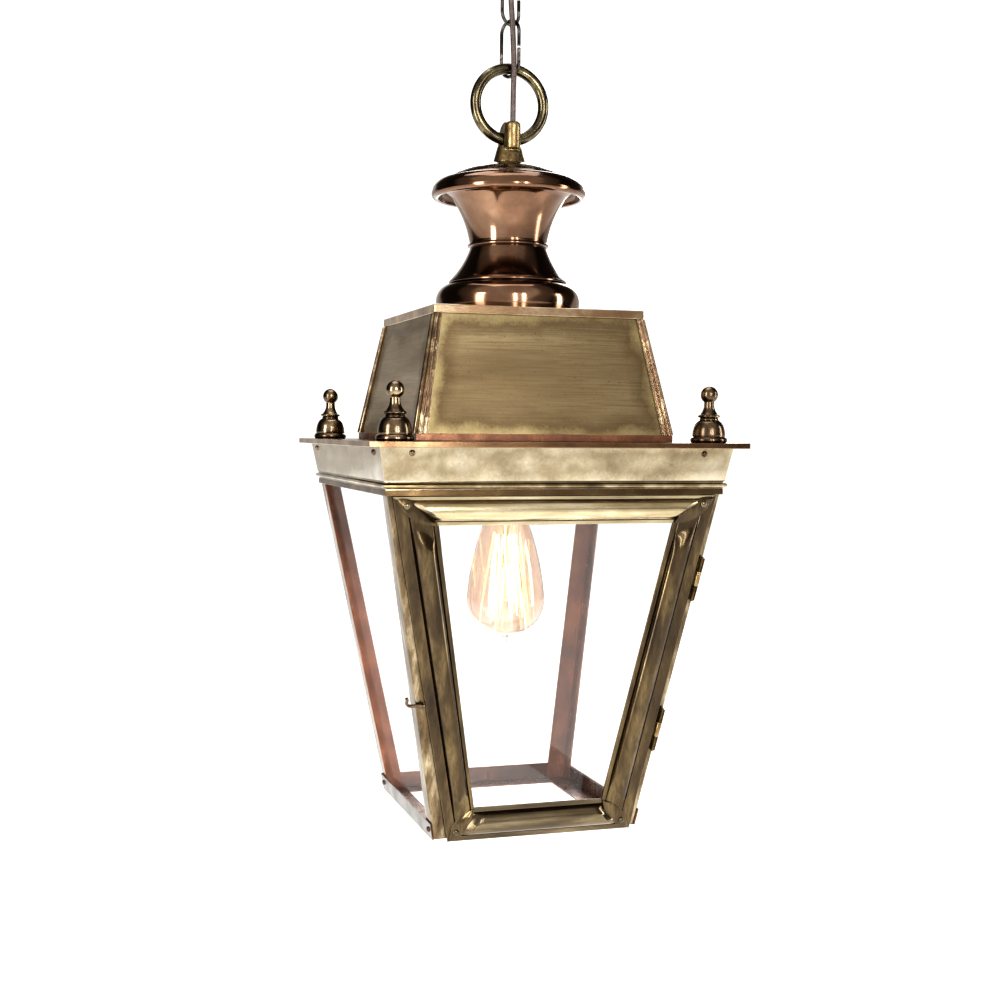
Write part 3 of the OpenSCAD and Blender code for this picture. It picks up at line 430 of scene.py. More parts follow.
for part, body, turn in (("chain_link_upper", "upper_link", links_turn),
                         ("chain_link_lower", "lower_link", hook_turn)):
    lo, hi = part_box(part)
    middle = (lo.z + hi.z) / 2
    long, r = (hi.z - lo.z) / MM, (LINK_W - LINK_WIRE) / 2
    straight = (long - LINK_W) / 2
    outline = ([(r, LINK_GAP / 2)] + [(r, straight * k / 3) for k in (1, 2)]
               + ellipse((0, straight), r, r, 0, 180, 24) + [(-r, straight * k / 3)
                                                             for k in (2, 1, 0, -1, -2)]
               + ellipse((0, -straight), r, r, 180, 360, 24) + [(r, -straight * k / 3) for k in (2, 1)]
               + [(r, -LINK_GAP / 2)])
    link = bmesh.new()
    tube(link, on_plane(outline, turn, middle), LINK_WIRE / 2 * MM, 20)
    stand_in_for(settle(link, part + "_wire", iron), body, "black_iron", part)

# The bell-mouthed strain relief is moulded rubber, pushed into the plate's hole, and grips the flex
rubber, tree, shader, spot = finish_of("moulded_rubber")
mould = node(tree, "TexNoise", {"Vector": spot, "Scale": 900.0, "Detail": 4.0}).outputs["Fac"]
black = node(tree, "ValToRGB", {"Fac": mould}, [(0.3, "#0d0d0d"), (0.7, "#1f1e1d")]).outputs["Color"]
tree.links.new(black, shader.inputs["Base Color"])
shader.inputs["Roughness"].default_value = 0.6
tree.links.new(node(tree, "Bump", {"Height": mould, "Strength": 0.2, "Distance": 0.0001}).outputs["Normal"],
               shader.inputs["Normal"])
relief_lo, relief_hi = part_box("ceiling_grommet")
relief = bmesh.new()
turned(relief, [(2.25, -8), (3.6, -8), (4.1, -7.6)] + arc((4.2, -7), (6.6, -3.7), 0.5, 6)
       + [(6.9, -3.1), (5, -3), (5, -0.2), (2.25, -0.2)],
       ((relief_lo.x + relief_hi.x) / 2, (relief_lo.y + relief_hi.y) / 2, relief_hi.z), 48)
stand_in_for(settle(relief, "ceiling_strain_relief", rubber), "ceiling", "black_plastic", "ceiling_grommet")

# ---------------------------------------------------------------- ring and eye
# A plain ring of round brass bar hangs in the end link, and carries the cast eye. The mop has left
# the outside of the ring golden, with brown in its hollow side. The eye is a rough brass casting.

golden = worn_metal("mopped_brass_bar", "#221c13", "#564c36", "#8e8666", 10, (0.1, 0.26), lacquer=0.3,
                    speck="#241b0e", speck_share=0.5, relief=0.15, shift=(0.03, 0.0, 0.02))
ring_lo, ring_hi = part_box("suspension_ring")
ring_mid = (ring_lo + ring_hi) / 2
bar_r = (ring_hi.y - ring_lo.y) / 2
ring = bmesh.new()
section = bmesh.ops.create_circle(ring, cap_ends=False, segments=40, radius=bar_r,
                                  matrix=Matrix.Translation(ring_mid + Vector((ring_hi.x - bar_r, 0,
                                                                               0))))["verts"]
bmesh.ops.spin(ring, geom=section + list(ring.edges), cent=ring_mid, axis=(0, 1, 0), angle=math.tau,
               steps=128, use_merge=True)
stand_in_for(settle(ring, "hanging_ring", golden), "ring", "ring_brass", "suspension_ring")

casting = worn_metal("sand_cast_brass", "#35291a", "#86724f", "#cbb88c", 10, (0.25, 0.45), speck="#1d150b",
                     speck_share=0.6, relief=0.5, hollow=0.75, edge=0.5)


def round_over(name, material, voxel, passes):
    """A cast part: the CAD solid's edges are softened as a sand mould leaves them."""
    piece = dress(name, material)
    remesh = piece.modifiers.new("skin", "REMESH")
    remesh.mode = "VOXEL"
    remesh.voxel_size = voxel
    remesh.use_smooth_shade = True
    smooth = piece.modifiers.new("mould_softness", "SMOOTH")
    smooth.factor, smooth.iterations = 0.5, passes
    return piece


round_over("hanging_eye", casting, 0.00045, 9)
for part in ("stem_tube", "stem_nuts"):
    dress(part, golden, bevel=0.0003)
dress("flex_inner", pvc)

# ---------------------------------------------------------------- cap and chimney
# Copper sheet spun over wooden chucks, browned, polished on the lathe and lacquered. The domed cap
# has a rolled rim, and the bell, the skirt and the base ring below it are soldered at their steps.

copper = worn_metal("lacquered_spun_copper", "#3f2d20", "#735540", "#9d8067", 70, (0.09, 0.19), lacquer=0.3,
                    speck="#2a150e", speck_share=0.15, relief=0.02, edge=0.2, hollow=0.45)
axis = Vector((0, 0, roof_z))


def over_roof(part):
    """A chimney part's foot and head above the roof's crown, and its radius, in mm."""
    lo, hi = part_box(part)
    return (lo.z - roof_z) / MM, (hi.z - roof_z) / MM, hi.x / MM


def spin_copper(part, outside, inside):
    """Spins one shell about the lantern's axis, from its outside and the inside that returns under it."""
    shell = bmesh.new()
    turned(shell, outside + inside, axis, 144)
    stand_in_for(settle(shell, part + "_spun", copper, 40), "lantern", "spun_copper", part)


rim_z, cap_top, rim_r = over_roof("cap_dome")
dome_r, joint_z = rim_r - 13, rim_z + 16.3
spin_copper("cap_dome",
            [(5.4, cap_top), (13.2, cap_top), (13.8, cap_top - 0.5)]
            + arc((14.2, cap_top - 0.7), (dome_r - 0.4, joint_z + 0.3), 2.0, 16)
            + [(dome_r - 0.2, joint_z), (dome_r + 0.3, joint_z - 0.5)]
            + arc((dome_r + 0.9, joint_z - 0.5), (rim_r - 0.9, rim_z + 8.3), 1.8, 12)
            + ellipse((rim_r - 3.6, rim_z + 4.1), 3.6, 4.1, 36, -88, 14),
            [(rim_r - 5.2, rim_z + 0.6)]
            + arc((rim_r - 5.4, rim_z + 2.6), (dome_r - 1.4, joint_z - 2.2), -1.4, 10)
            + arc((dome_r - 2.2, joint_z - 1.8), (13.6, cap_top - 2), -2.0, 12) + [(5.4, cap_top - 1.2)])

waist_z, shelf_z, shelf_r = over_roof("chimney_bell")
waist_r = 31.4
lip_r, lip_z = shelf_r - 13.5, shelf_z - 6
spin_copper("chimney_bell", [(waist_r, waist_z), (waist_r + 0.5, waist_z + 0.2)]
            + ellipse((waist_r + 0.6, waist_z + 1.7), 1.1, 1.3, -80, 80, 10)
            + [(waist_r + 0.1, waist_z + 3.3)] + arc((waist_r, waist_z + 3.6), (lip_r, lip_z), 2.2, 22)
            + arc((lip_r + 0.3, lip_z + 0.3), (shelf_r, shelf_z - 1), 1.5, 12), [(shelf_r, shelf_z)]
            + arc((shelf_r - 0.3, shelf_z), (lip_r - 0.9, lip_z + 1.3), -1.5, 12)
            + arc((lip_r - 1.2, lip_z + 0.6), (waist_r - 1, waist_z + 3.6), -2.2, 20)
            + [(waist_r - 1, waist_z)])

skirt_z, _, skirt_r = over_roof("chimney_skirt")
skirt_r -= 0.6
spin_copper("chimney_skirt",
            [(skirt_r - 0.4, skirt_z)] + ellipse((skirt_r - 0.5, skirt_z + 1.3), 1.1, 1.25, -80, 75, 10)
            + arc((skirt_r - 0.3, skirt_z + 2.7), (waist_r - 0.4, waist_z), 1.7, 20),
            [(waist_r - 1.4, waist_z)]
            + arc((waist_r - 1.4, waist_z - 0.2), (skirt_r - 1.4, skirt_z + 2.6), -1.7, 16)
            + [(skirt_r - 1.6, skirt_z)])

_, ring_top, ring_out = over_roof("chimney_base")
round_r = 14.2
spin_copper("chimney_base",
            [(ring_out - 2.2, 0), (ring_out - 1.2, 0.3), (ring_out - 1.1, 1.4)]
            + arc((ring_out - 1.1, 1.8), (ring_out, ring_top - round_r), -0.3, 4)
            + ellipse((ring_out - round_r, ring_top - round_r), round_r, round_r, 6, 90, 16)
            + [(skirt_r - 7, ring_top), (skirt_r - 7, ring_top - 1)],
            ellipse((ring_out - round_r, ring_top - round_r), round_r - 1, round_r - 1, 90, 0, 12)
            + [(ring_out - 3.2, 0)])

# ---------------------------------------------------------------- roof
# The crown is a folded brass tray, its edge rubbed bright. Four brushed panels hang from it to a
# copper plinth, and reeded strips, pressed from thin sheet, are soldered over the corners.

SHEET = 1.2
plinth_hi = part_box("roof_plinth")[1]
crown_foot = crown_lo.z
head_half, foot_half, foot_z = crown_hi.x, plinth_hi.x, plinth_hi.z
roof_slope = (foot_half - head_half) / (crown_foot - foot_z)


def roof_half(z):
    """Half the roof's width at a height."""
    return head_half + (crown_foot - z) * roof_slope


def quarter(point, side):
    """Turns a point on the front side to side 0 front, 1 right, 2 back or 3 left."""
    return Matrix.Rotation(math.radians(90 * side), 3, "Z") @ Vector(point)


def loft(mesh_data, rings, closed_row=False):
    """Joins closed rings of the same number of points in order, and closes the ends or the row itself."""
    loops = []
    for points in rings:
        verts = [mesh_data.verts.new(p) for p in points]
        loops.append([mesh_data.edges.new((a, b)) for a, b in zip(verts, verts[1:] + verts[:1])])
    for a, b in zip(loops, loops[1:] + (loops[:1] if closed_row else [])):
        bmesh.ops.bridge_loops(mesh_data, edges=a + b)
    if not closed_row:
        for end in (loops[0], loops[-1]):
            bmesh.ops.contextual_create(mesh_data, geom=end)


def square_moulding(profile):
    """Runs a closed profile, given as (distance from the axis, height) in metres, round a square."""
    made = bmesh.new()
    loft(made, [[quarter((-out, -out, z), side) for out, z in profile] for side in range(4)], closed_row=True)
    return made


def break_edges(mesh_data, width):
    """Bevels every edge that is sharper than 30 degrees."""
    sharp = [e for e in mesh_data.edges if len(e.link_faces) == 2 and e.calc_face_angle(0) > math.radians(30)]
    bmesh.ops.bevel(mesh_data, geom=sharp, offset=width, offset_type="OFFSET", affect="EDGES", segments=2,
                    profile=0.5, material=-1, clamp_overlap=True)


# In mm: how far a panel's edge wear reaches in
WEAR_WIDTH = 22.0


def sheet_panel(corners, away, thickness, across, up, bulge=0.0, covered=0.0):
    """A sheet cut to four corners (two at the head, then two at the foot), whose face looks away, a little
    bulged as hand-cut sheet is. Its rim attribute runs from 1 at the border to 0 at the wear's full
    width, and starts as far in as the corner strips have the sheet covered."""
    made = bmesh.new()
    rim = made.verts.layers.float.new("rim")
    grid = bmesh.ops.create_grid(made, x_segments=across, y_segments=up, size=1.0)["verts"]
    head_l, head_r, foot_r, foot_l = (Vector(c) for c in corners)
    normal = (head_r - head_l).cross(foot_l - head_l).normalized()
    if normal.dot(away) < 0:
        normal.negate()
    for vert in grid:
        s, t = (vert.co.x + 1) / 2, (vert.co.y + 1) / 2
        left, right = foot_l.lerp(head_l, t), foot_r.lerp(head_r, t)
        here = left.lerp(right, s)
        border = min(s * (right - left).length - covered, (1 - s) * (right - left).length - covered,
                     t * (head_l - foot_l).length, (1 - t) * (head_l - foot_l).length)
        vert[rim] = max(0.0, 1 - border / (WEAR_WIDTH * MM))
        vert.co = here + normal * bulge * math.sin(math.pi * s) * math.sin(math.pi * t)
    bmesh.ops.recalc_face_normals(made, faces=made.faces)
    made.faces.ensure_lookup_table()
    if made.faces[0].normal.dot(normal) < 0:
        bmesh.ops.reverse_faces(made, faces=made.faces)
    bmesh.ops.solidify(made, geom=list(made.faces), thickness=thickness)
    return made


def edge_wear(material, dark, bright, share):
    """A panel's border is darkened by hand, and rubbed bright again along its very edge. The rim
    attribute says how near the border is, and noise makes both bands ragged."""
    tree = material.node_tree
    shader = tree.nodes["Principled BSDF"]
    before = shader.inputs["Base Color"].links[0].from_socket
    rim = node(tree, "Attribute", attribute_name="rim").outputs["Fac"]
    spot = node(tree, "TexCoord").outputs["Object"]
    broad = node(tree, "TexNoise", {"Vector": spot, "Scale": 34.0, "Detail": 2.0}).outputs["Fac"]
    fine = node(tree, "TexNoise", {"Vector": spot, "Scale": 420.0, "Detail": 5.0,
                                   "Roughness": 0.7}).outputs["Fac"]
    near = node(tree, "Math", {0: broad, 1: 1.1, 2: rim}, operation="MULTIPLY_ADD").outputs["Value"]
    near = node(tree, "Math", {0: fine, 1: 0.5, 2: near}, operation="MULTIPLY_ADD").outputs["Value"]
    for start, end, shade in ((0.95, 1.45, dark), (1.50, 1.95, bright)):
        part = node(tree, "MapRange", {"Value": near, "From Min": start, "From Max": end, "To Max": share})
        before = node(tree, "Mix", {"Factor": part.outputs["Result"], "A": before, "B": linear(shade)},
                      data_type="RGBA").outputs["Result"]
    tree.links.new(before, shader.inputs["Base Color"])


bright = worn_metal("rubbed_bright_brass", "#6b5138", "#9a7f62", "#d0bc9e", 25, (0.1, 0.22), lacquer=0.2,
                    speck="#4a3a20", speck_share=0.3, relief=0.08, edge=0.6)
dress("roof_crown", bright, bevel=0.0011)
raw = worn_metal("heat_stained_copper", "#40241a", "#6e4630", "#a57554", 20, (0.2, 0.4), speck="#38190e",
                 speck_share=0.4, relief=0.15, metallic=0.6)
dress("roof_plinth", raw, bevel=0.0005)

SIDES = ("front", "right", "back", "left")
# In mm: how far the sheets stop short of the corners, how much the strips cover, and the sheets' bulge
INSET, STRIP_COVER, ROOF_BULGE = 2 * SHEET + 0.2, 6.5, 0.4
for side, word in enumerate(SIDES):
    # The two side sheets are painted paler and the front and back ones darker: painted light, standing for
    # the brighter reflections that the sides catch
    painted_light_tones = ("#938269", "#b0a086", "#cfc1a8") if side % 2 else ("#564833", "#706148", "#918163")
    brushed = worn_metal("brushed_antique_brass_" + word, *painted_light_tones, 45, (0.22, 0.38), speck="#3c2f1a",
                         speck_share=0.6, relief=0.35, hollow=0.35, brush="Y" if side % 2 else "X",
                         brush_mm=(1.1, 45), brush_share=0.55, wave_mm=60, wave=0.12,
                         shift=(0.2 * side, 0.1, 0.05))
    edge_wear(brushed, "#4a3b28", "#a5966c", 0.55)
    corners = []
    for z, signs in ((crown_foot, (-1, 1)), (foot_z, (1, -1))):
        half = roof_half(z)
        corners += [quarter((sign * (half - INSET * MM), -(half - SHEET * MM), z), side) for sign in signs]
    panel = sheet_panel(corners, quarter((0, -1, 0.2), side), SHEET * MM, 36, 18, ROOF_BULGE * MM,
                        STRIP_COVER * MM)
    stand_in_for(settle(panel, "roof_sheet_" + word, brushed), "lantern", "brushed_brass",
                 "roof_panel_" + word)

def strip_section(half, width, corner, z):
    """The strip's ring at one height: its two faces with their reeds, then its back."""
    face = [(width, 0.0)]
    for middle, r in ((width * 0.72, width * 0.17), (width * 0.3, width * 0.2)):
        face += [(middle - r * math.cos(a), r * 0.95 * math.sin(a)) for a in
                 (math.pi * (1 - i / 8) for i in range(9))]
    face += [(0.0, 0.3)]
    front = [Vector((-half + u * MM, -half - h * MM, z)) for u, h in face]
    left = [Vector((-half - h * MM, -half + u * MM, z)) for u, h in face[::-1]]
    under, edge = -half + 1.2 * MM, -half + width * MM
    back = [Vector((under, edge, z)), Vector((under, under, z)), Vector((edge, under, z))]
    return [quarter(p, corner) for p in front + left + back]


# Each corner strip is pressed with two reeds on either face, and is wider at its foot
reeds = bmesh.new()
for corner in range(4):
    loft(reeds, [strip_section(roof_half(z), w, corner, z) for z, w in ((crown_foot, 6.6), (foot_z, 9.0))])
reeded = worn_metal("reeded_brass_strip", "#2e1c12", "#6a513a", "#d9c8a2", 12, (0.08, 0.22), lacquer=0.25,
                    speck="#2a120a", speck_share=0.5, relief=0.08, hollow=0.95, edge=0.5)
stand_in_for(settle(reeds, "roof_corner_strips", reeded, 50), "lantern", "antique_brass", "roof_ribs")

# ---------------------------------------------------------------- deck and finials
# The deck is a flat brass plate with its edge folded down. A turned bronze finial stands on each
# corner, and its stud goes through the deck to a nut beneath.

deck_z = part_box("deck_plate")[1].z
deck_metal = worn_metal("browned_deck_brass", "#3f2c20", "#806348", "#b99a78", 35, (0.1, 0.24),
                        speck="#2a1910", speck_share=0.35, relief=0.1, edge=0.9, wave_mm=70, wave=0.15)
dress("deck_plate", deck_metal, bevel=0.0005)

ball_r = 6.6
CORNERS = ("front_left", "front_right", "back_right", "back_left")
for corner, word in enumerate(CORNERS):
    lo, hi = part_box("finial_" + word)
    middle = (lo + hi) / 2
    tall, dome_r = (hi.z - deck_z) / MM, (hi.x - lo.x) / 2 / MM - 0.7
    ball_z = tall - ball_r
    turning = bmesh.new()
    turned(turning, [(0, -10), (2.4, -10), (2.4, 0), (dome_r + 0.2, 0)]
           + ellipse((dome_r - 0.6, 2.1), 1.3, 2.0, -70, 70, 8)
           + [(dome_r - 0.6, 4.3), (dome_r - 1.1, 4.6)]
           + ellipse((7.2, 5.0), dome_r - 8.0, 11.8, 4, 76, 12)
           + [(8.0, 16.9), (7.3, 17.3), (7.1, 18.3), (6.7, 18.8)]
           + ellipse((6.7, 20.2), 1.8, 1.2, -80, 80, 8)
           + arc((6.6, 21.9), (3.9, ball_z - 6.4), 0.9, 8)
           + [(3.8, ball_z - 5.6)]
           + ellipse((0, ball_z), ball_r, ball_r, -54, 90, 18),
           (middle.x, middle.y, deck_z), 72)
    finial_metal = worn_metal("turned_bronze_" + word, "#33281e", "#665644", "#ab977a", 18, (0.12, 0.28),
                              speck="#1a130b", speck_share=0.35, relief=0.06, hollow=0.8, edge=0.3,
                              shift=(0.07 * corner, 0, 0))
    stand_in_for(settle(turning, "finial_turned_" + word, finial_metal), "lantern", "dark_bronze",
                 "finial_" + word)
dress("finial_nuts", golden, bevel=0.0003)

# ---------------------------------------------------------------- frieze, bead and head frame
# Four mitred sheet panels slope in from the deck to a half-round bead. Round-headed screws hold them
# to the deck's folded edge. Under the bead is the angle frame that the posts are soldered to.

frieze_lo, frieze_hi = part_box("frieze_front")
frieze_top, frieze_foot, frieze_out = frieze_hi.z, frieze_lo.z, -frieze_lo.y
FRIEZE_SLOPE = 0.19
frieze_in = frieze_out - (frieze_top - frieze_foot) * FRIEZE_SLOPE
for side, word in enumerate(SIDES):
    # The frieze sheets' pale colour is partly their brass and partly a painted reflection of the bright light
    # they face
    frieze_brass_painted_pale = worn_metal("brass_frieze_painted_reflection_" + word, "#71644c", "#b8ab8e", "#e6dfcd", 38, (0.08, 0.2),
                          lacquer=0.4, speck="#5b4726", speck_share=0.25, relief=0.05, wave_mm=55,
                          wave=0.35, shift=(0.31 * side, 0.11, 0.02))
    edge_wear(frieze_brass_painted_pale, "#6e5a3a", "#efe3c4", 0.45)
    corners = [quarter(p, side) for p in (
        (-frieze_out, -frieze_out, frieze_top), (frieze_out, -frieze_out, frieze_top),
        (frieze_in, -frieze_in, frieze_foot), (-frieze_in, -frieze_in, frieze_foot))]
    panel = sheet_panel(corners, quarter((0, -1, -0.2), side), SHEET * MM, 48, 6)
    stand_in_for(settle(panel, "frieze_sheet_" + word, frieze_brass_painted_pale), "lantern", "antique_brass",
                 "frieze_" + word)

antique = worn_metal("lacquered_antique_brass", "#43351f", "#857353", "#d8cbae", 24, (0.08, 0.2),
                     lacquer=0.3, speck="#3a2c17", speck_share=0.35, relief=0.1, wave_mm=60, wave=0.15)
bead_lo, bead_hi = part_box("bead_moulding")
bead_r = (bead_hi.z - bead_lo.z) / 2
bead_mid, bead_z = bead_hi.x - bead_r, (bead_hi.z + bead_lo.z) / 2
back, neck, lip = bead_mid - 0.005, bead_mid + 0.0006, bead_mid + 0.0017
profile = ([(back, bead_z - bead_r), (neck, bead_z - bead_r), (neck, bead_z - bead_r * 0.80)]
           + [(bead_mid + bead_r * math.cos(a), bead_z + bead_r * 0.66 * math.sin(a) - bead_r * 0.1) for a in
              (math.radians(-72 + 144 * i / 12) for i in range(13))]
           + [(bead_mid + 0.0008, bead_z + bead_r * 0.72), (lip, bead_z + bead_r * 0.78),
              (lip, bead_z + bead_r), (back, bead_z + bead_r)])
stand_in_for(settle(square_moulding(profile), "bead_half_round", antique, 50), "lantern", "antique_brass",
             "bead_moulding")
# The angle frame stays brown, because the door's head hides it from the mop
browned = worn_metal("browned_angle_brass", "#2f2317", "#57452f", "#8f7a58", 30, (0.14, 0.3), speck="#1d140b",
                     speck_share=0.4, relief=0.1)
dress("head_frame", browned, bevel=0.0004)


def domed_head(mesh_data, place_at, outward, radius, rise):
    """A round screw or rivet head: a circle extruded step by step, each ring smaller, into a dome."""
    turn = Vector((0, 0, 1)).rotation_difference(Vector(outward).normalized()).to_matrix().to_4x4()
    stand = Matrix.Translation(place_at) @ turn
    loop = bmesh.ops.create_circle(mesh_data, cap_ends=False, segments=20, radius=radius,
                                   matrix=stand)["verts"]
    ring = list({e for v in loop for e in v.link_edges})
    first = list(ring)
    shrink = 1.0
    for i in range(1, 6):
        a = math.pi / 2 * i / 6
        grown = bmesh.ops.extrude_edge_only(mesh_data, edges=ring)["geom"]
        verts = [g for g in grown if isinstance(g, bmesh.types.BMVert)]
        ring = [g for g in grown if isinstance(g, bmesh.types.BMEdge)]
        factor = math.cos(a) / shrink
        bmesh.ops.scale(mesh_data, verts=verts, vec=(factor, factor, 1), space=stand.inverted())
        step = rise * (math.sin(a) - math.sin(math.pi / 2 * (i - 1) / 6))
        bmesh.ops.translate(mesh_data, verts=verts, vec=(turn @ Vector((0, 0, step, 0))).xyz)
        shrink = math.cos(a)
    bmesh.ops.holes_fill(mesh_data, edges=ring + first, sides=0)


# The body's faces lean in as they go down: its half width at a height follows from two known levels
post_lo, post_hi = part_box("post_front_left")
rail_lo, rail_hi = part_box("base_rail_left")
post_top, post_foot = post_hi.z, post_lo.z
post_half = -post_lo.x
rail_half = -rail_lo.x - SHEET * MM
lean = (post_half - rail_half) / (post_top - rail_hi.z)
face_tilt = math.atan(lean)


def half_at(z):
    """Half the glazed body's width at a height."""
    return post_half - (post_top - z) * lean


def on_front(x, z, out=0.0):
    """A point on the front face: x along it, at height z, and so far outwards, square to the face."""
    return Vector((x, -half_at(z) - out * math.cos(face_tilt), z - out * math.sin(face_tilt)))


face_out = on_front(0, 0, 1) - on_front(0, 0)
heads = bmesh.new()
# Each head's radius and rise, and how far the screws stand from the panels' edges
FRIEZE_HEAD, RAIL_HEAD, RIVET_HEAD = (0.0023, 0.0017), (0.0022, 0.0016), (0.0026, 0.0016)
FRIEZE_DOWN, FRIEZE_IN, RAIL_IN = 0.007, 0.019, 0.0065
frieze_screw_z = frieze_top - FRIEZE_DOWN
frieze_screw_x = frieze_in - FRIEZE_IN
rail_screw_z = (rail_hi.z + post_foot) / 2
rail_screw_x = half_at(rail_screw_z) - RAIL_IN
for side in range(4):
    for sign in (-1, 1):
        out = frieze_in + (frieze_screw_z - frieze_foot) * FRIEZE_SLOPE
        domed_head(heads, quarter((sign * frieze_screw_x, -out, frieze_screw_z), side),
                   quarter((0, -1, -FRIEZE_SLOPE), side), *FRIEZE_HEAD)
        if side:
            domed_head(heads, quarter(on_front(sign * rail_screw_x, rail_screw_z, SHEET * MM), side),
                       quarter(face_out, side), *RAIL_HEAD)
stand_in_for(settle(heads, "screw_heads", bronze, 60), "lantern", "dark_bronze", "body_screws")

# A flat stop strip hangs from the angle frame between the front posts, and closes the door's top gap
frame_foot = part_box("head_frame")[0].z
STOP_H, STOP_T, POST_LEG = 10.0, 1.2, 16.0
strip_top, strip_foot, strip_back = frame_foot + 0.0004, frame_foot - STOP_H * MM, -STOP_T * MM
strip = bmesh.new()
rings = []
for sign in (-1, 1):
    ends = []
    for z, out in ((strip_top, 0.0), (strip_foot, 0.0), (strip_foot, strip_back), (strip_top, strip_back)):
        ends.append(on_front(sign * (half_at(z) - (POST_LEG + 0.1) * MM), z, out))
    rings.append(ends)
loft(strip, rings)
break_edges(strip, 0.0002)
stand_in_for(settle(strip, "door_stop_strip", browned, 30), "lantern", "antique_brass")

# ---------------------------------------------------------------- posts, base rails and panes
# The posts and rails are folded copper-brass angle: outside they are browned brass, inside the raw
# copper colour shows, stained by the torch. The panes are float glass.


def two_faced(piece, inside_material):
    """Gives the faces that look at the lantern's axis their own finish."""
    piece.data.materials.append(inside_material)
    for face in piece.data.polygons:
        towards = -face.center
        towards.z = 0
        if face.normal.dot(towards.normalized()) > 0.3:
            face.material_index = 1


post_outside = worn_metal("browned_brass_post", "#2e2317", "#6a5940", "#c4b596", 9, (0.1, 0.24),
                          lacquer=0.2, brush="Z", brush_mm=(1, 60), speck="#2f2211", speck_share=0.4,
                          relief=0.12, wave_mm=40, wave=0.15, hollow=0.7)
oxide = worn_metal("oxidised_copper_sheet", "#47240f", "#7d4526", "#a86c46", 22, (0.28, 0.48),
                   speck="#3a1c10", speck_share=0.3, relief=0.07, hollow=0.4, metallic=0.45)
FOLD_R, steps = 0.0009, 12
for corner, word in enumerate(CORNERS):
    rings = []
    for i in range(steps + 1):
        z = post_top + (post_foot - post_top) * i / steps
        h, t, w, r = half_at(z), SHEET * MM, POST_LEG * MM, FOLD_R
        fold = [Vector((-h + r - r * math.sin(a), -h + r - r * math.cos(a), z)) for a in
                (math.pi / 2 * k / 4 for k in range(5))]
        rings.append([quarter(p, corner) for p in
                      [Vector((-h + w, -h, z))] + fold
                      + [Vector((-h, -h + w, z)), Vector((-h + t, -h + w, z)), Vector((-h + t, -h + t, z)),
                         Vector((-h + w, -h + t, z))]])
    post = bmesh.new()
    loft(post, rings)
    post = settle(post, "post_angle_" + word, post_outside, 30)
    two_faced(post, oxide)
    stand_in_for(post, "lantern", "oxidised_copper", "post_" + word)

rail_outside = worn_metal("pale_brass_rail", "#211b14", "#40382d", "#7a6f5d", 22, (0.14, 0.28),
                          speck="#4a3218", speck_share=0.4, relief=0.12, wave_mm=40, wave=0.2)
FLOOR_W = 17.0
for side, word in enumerate(SIDES):
    lo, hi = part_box("base_rail_" + word)
    foot, top, t = lo.z, hi.z, SHEET * MM
    leg_in = -(2 * SHEET + 0.2) * MM if side == 0 else 0.0
    section = [(half_at(foot) + leg_in + t, foot), (half_at(top) + leg_in + t, top),
               (half_at(top) + leg_in, top), (half_at(foot + t) + leg_in, foot + t),
               (half_at(foot + t) + leg_in - FLOOR_W * MM, foot + t),
               (half_at(foot) + leg_in - FLOOR_W * MM, foot)]
    rings = []
    for s in [-1 + 2 * i / 16 for i in range(17)]:
        rings.append([quarter((s * out, -out, z), side) for out, z in section])
    rail = bmesh.new()
    loft(rail, rings)
    rail = settle(rail, "base_angle_" + word, rail_outside, 30)
    rail.data.materials.append(raw)
    outward = quarter((0, -1, 0), side)
    for face in rail.data.polygons:
        if face.normal.dot(outward) < 0.5:
            face.material_index = 1
    stand_in_for(rail, "lantern", "raw_copper", "base_rail_" + word)

# Float glass: almost nothing but its reflections, with a green cast and faint dust that dulls it in patches
float_glass, tree, shader, spot = finish_of("float_glass")
dust = node(tree, "TexNoise", {"Vector": spot, "Scale": 45.0, "Detail": 6.0,
                               "Roughness": 0.65}).outputs["Fac"]
tree.links.new(node(tree, "MapRange", {"Value": dust, "From Min": 0.5, "From Max": 0.8, "To Min": 0.0,
                                       "To Max": 0.04}).outputs["Result"], shader.inputs["Roughness"])
shader.inputs["Base Color"].default_value = linear("#fbfffd")
shader.inputs["Transmission Weight"].default_value = 1.0
shader.inputs["IOR"].default_value = 1.45
shader.inputs["Alpha"].default_value = 0.05
PANE, PANE_CLEAR, GLASS_LAP, GLASS_EASE = 3.0, 0.0052, 0.0045, 0.0004
for side, word in ((1, "right"), (2, "back"), (3, "left")):
    lo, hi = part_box("pane_" + word)
    out = -(SHEET + 0.2) * MM
    corners = []
    for z, signs in ((hi.z, (-1, 1)), (lo.z, (1, -1))):
        width = half_at(z) - PANE_CLEAR
        corners += [quarter(on_front(sign * width, z, out), side) for sign in signs]
    pane = sheet_panel(corners, quarter((0, -1, 0), side), PANE * MM, 2, 2)
    break_edges(pane, GLASS_EASE)
    stand_in_for(settle(pane, "glass_" + word, float_glass), "lantern", "clear_glass", "pane_" + word)

# ---------------------------------------------------------------- door
# The frame's four bars are drawn from brass strip with a broad half-round between two lips. The
# stiles' ends are beaten flat over the rails' and riveted there. The glass lies in the frame's back.

LIP_IN, LIP_OUT = 1.4, 2.6
DOOR_BAR, HINGE_SIDE = 29.5, 4.5
door_glass_lo, door_glass_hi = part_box("door_glass")
door_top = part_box("door_rail_head")[1].z + LIP_IN * math.sin(face_tilt) * MM
door_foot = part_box("door_rail_foot")[0].z + LIP_OUT * math.sin(face_tilt) * MM
HEAD_BAR, FOOT_BAR = 21.0, 26.0
open_top = door_top - HEAD_BAR * MM
open_foot = door_foot + FOOT_BAR * MM
GAP_HEAD, GAP_FOOT = 3.0, 10.0


def outer_line(z, sign):
    """The door's edge at height z: towards the latch (-1) or the hinges (1)."""
    down = (door_top - z) / (door_top - door_foot)
    gap = HINGE_SIDE if sign > 0 else GAP_HEAD + (GAP_FOOT - GAP_HEAD) * down
    return sign * (half_at(z) - gap * MM)


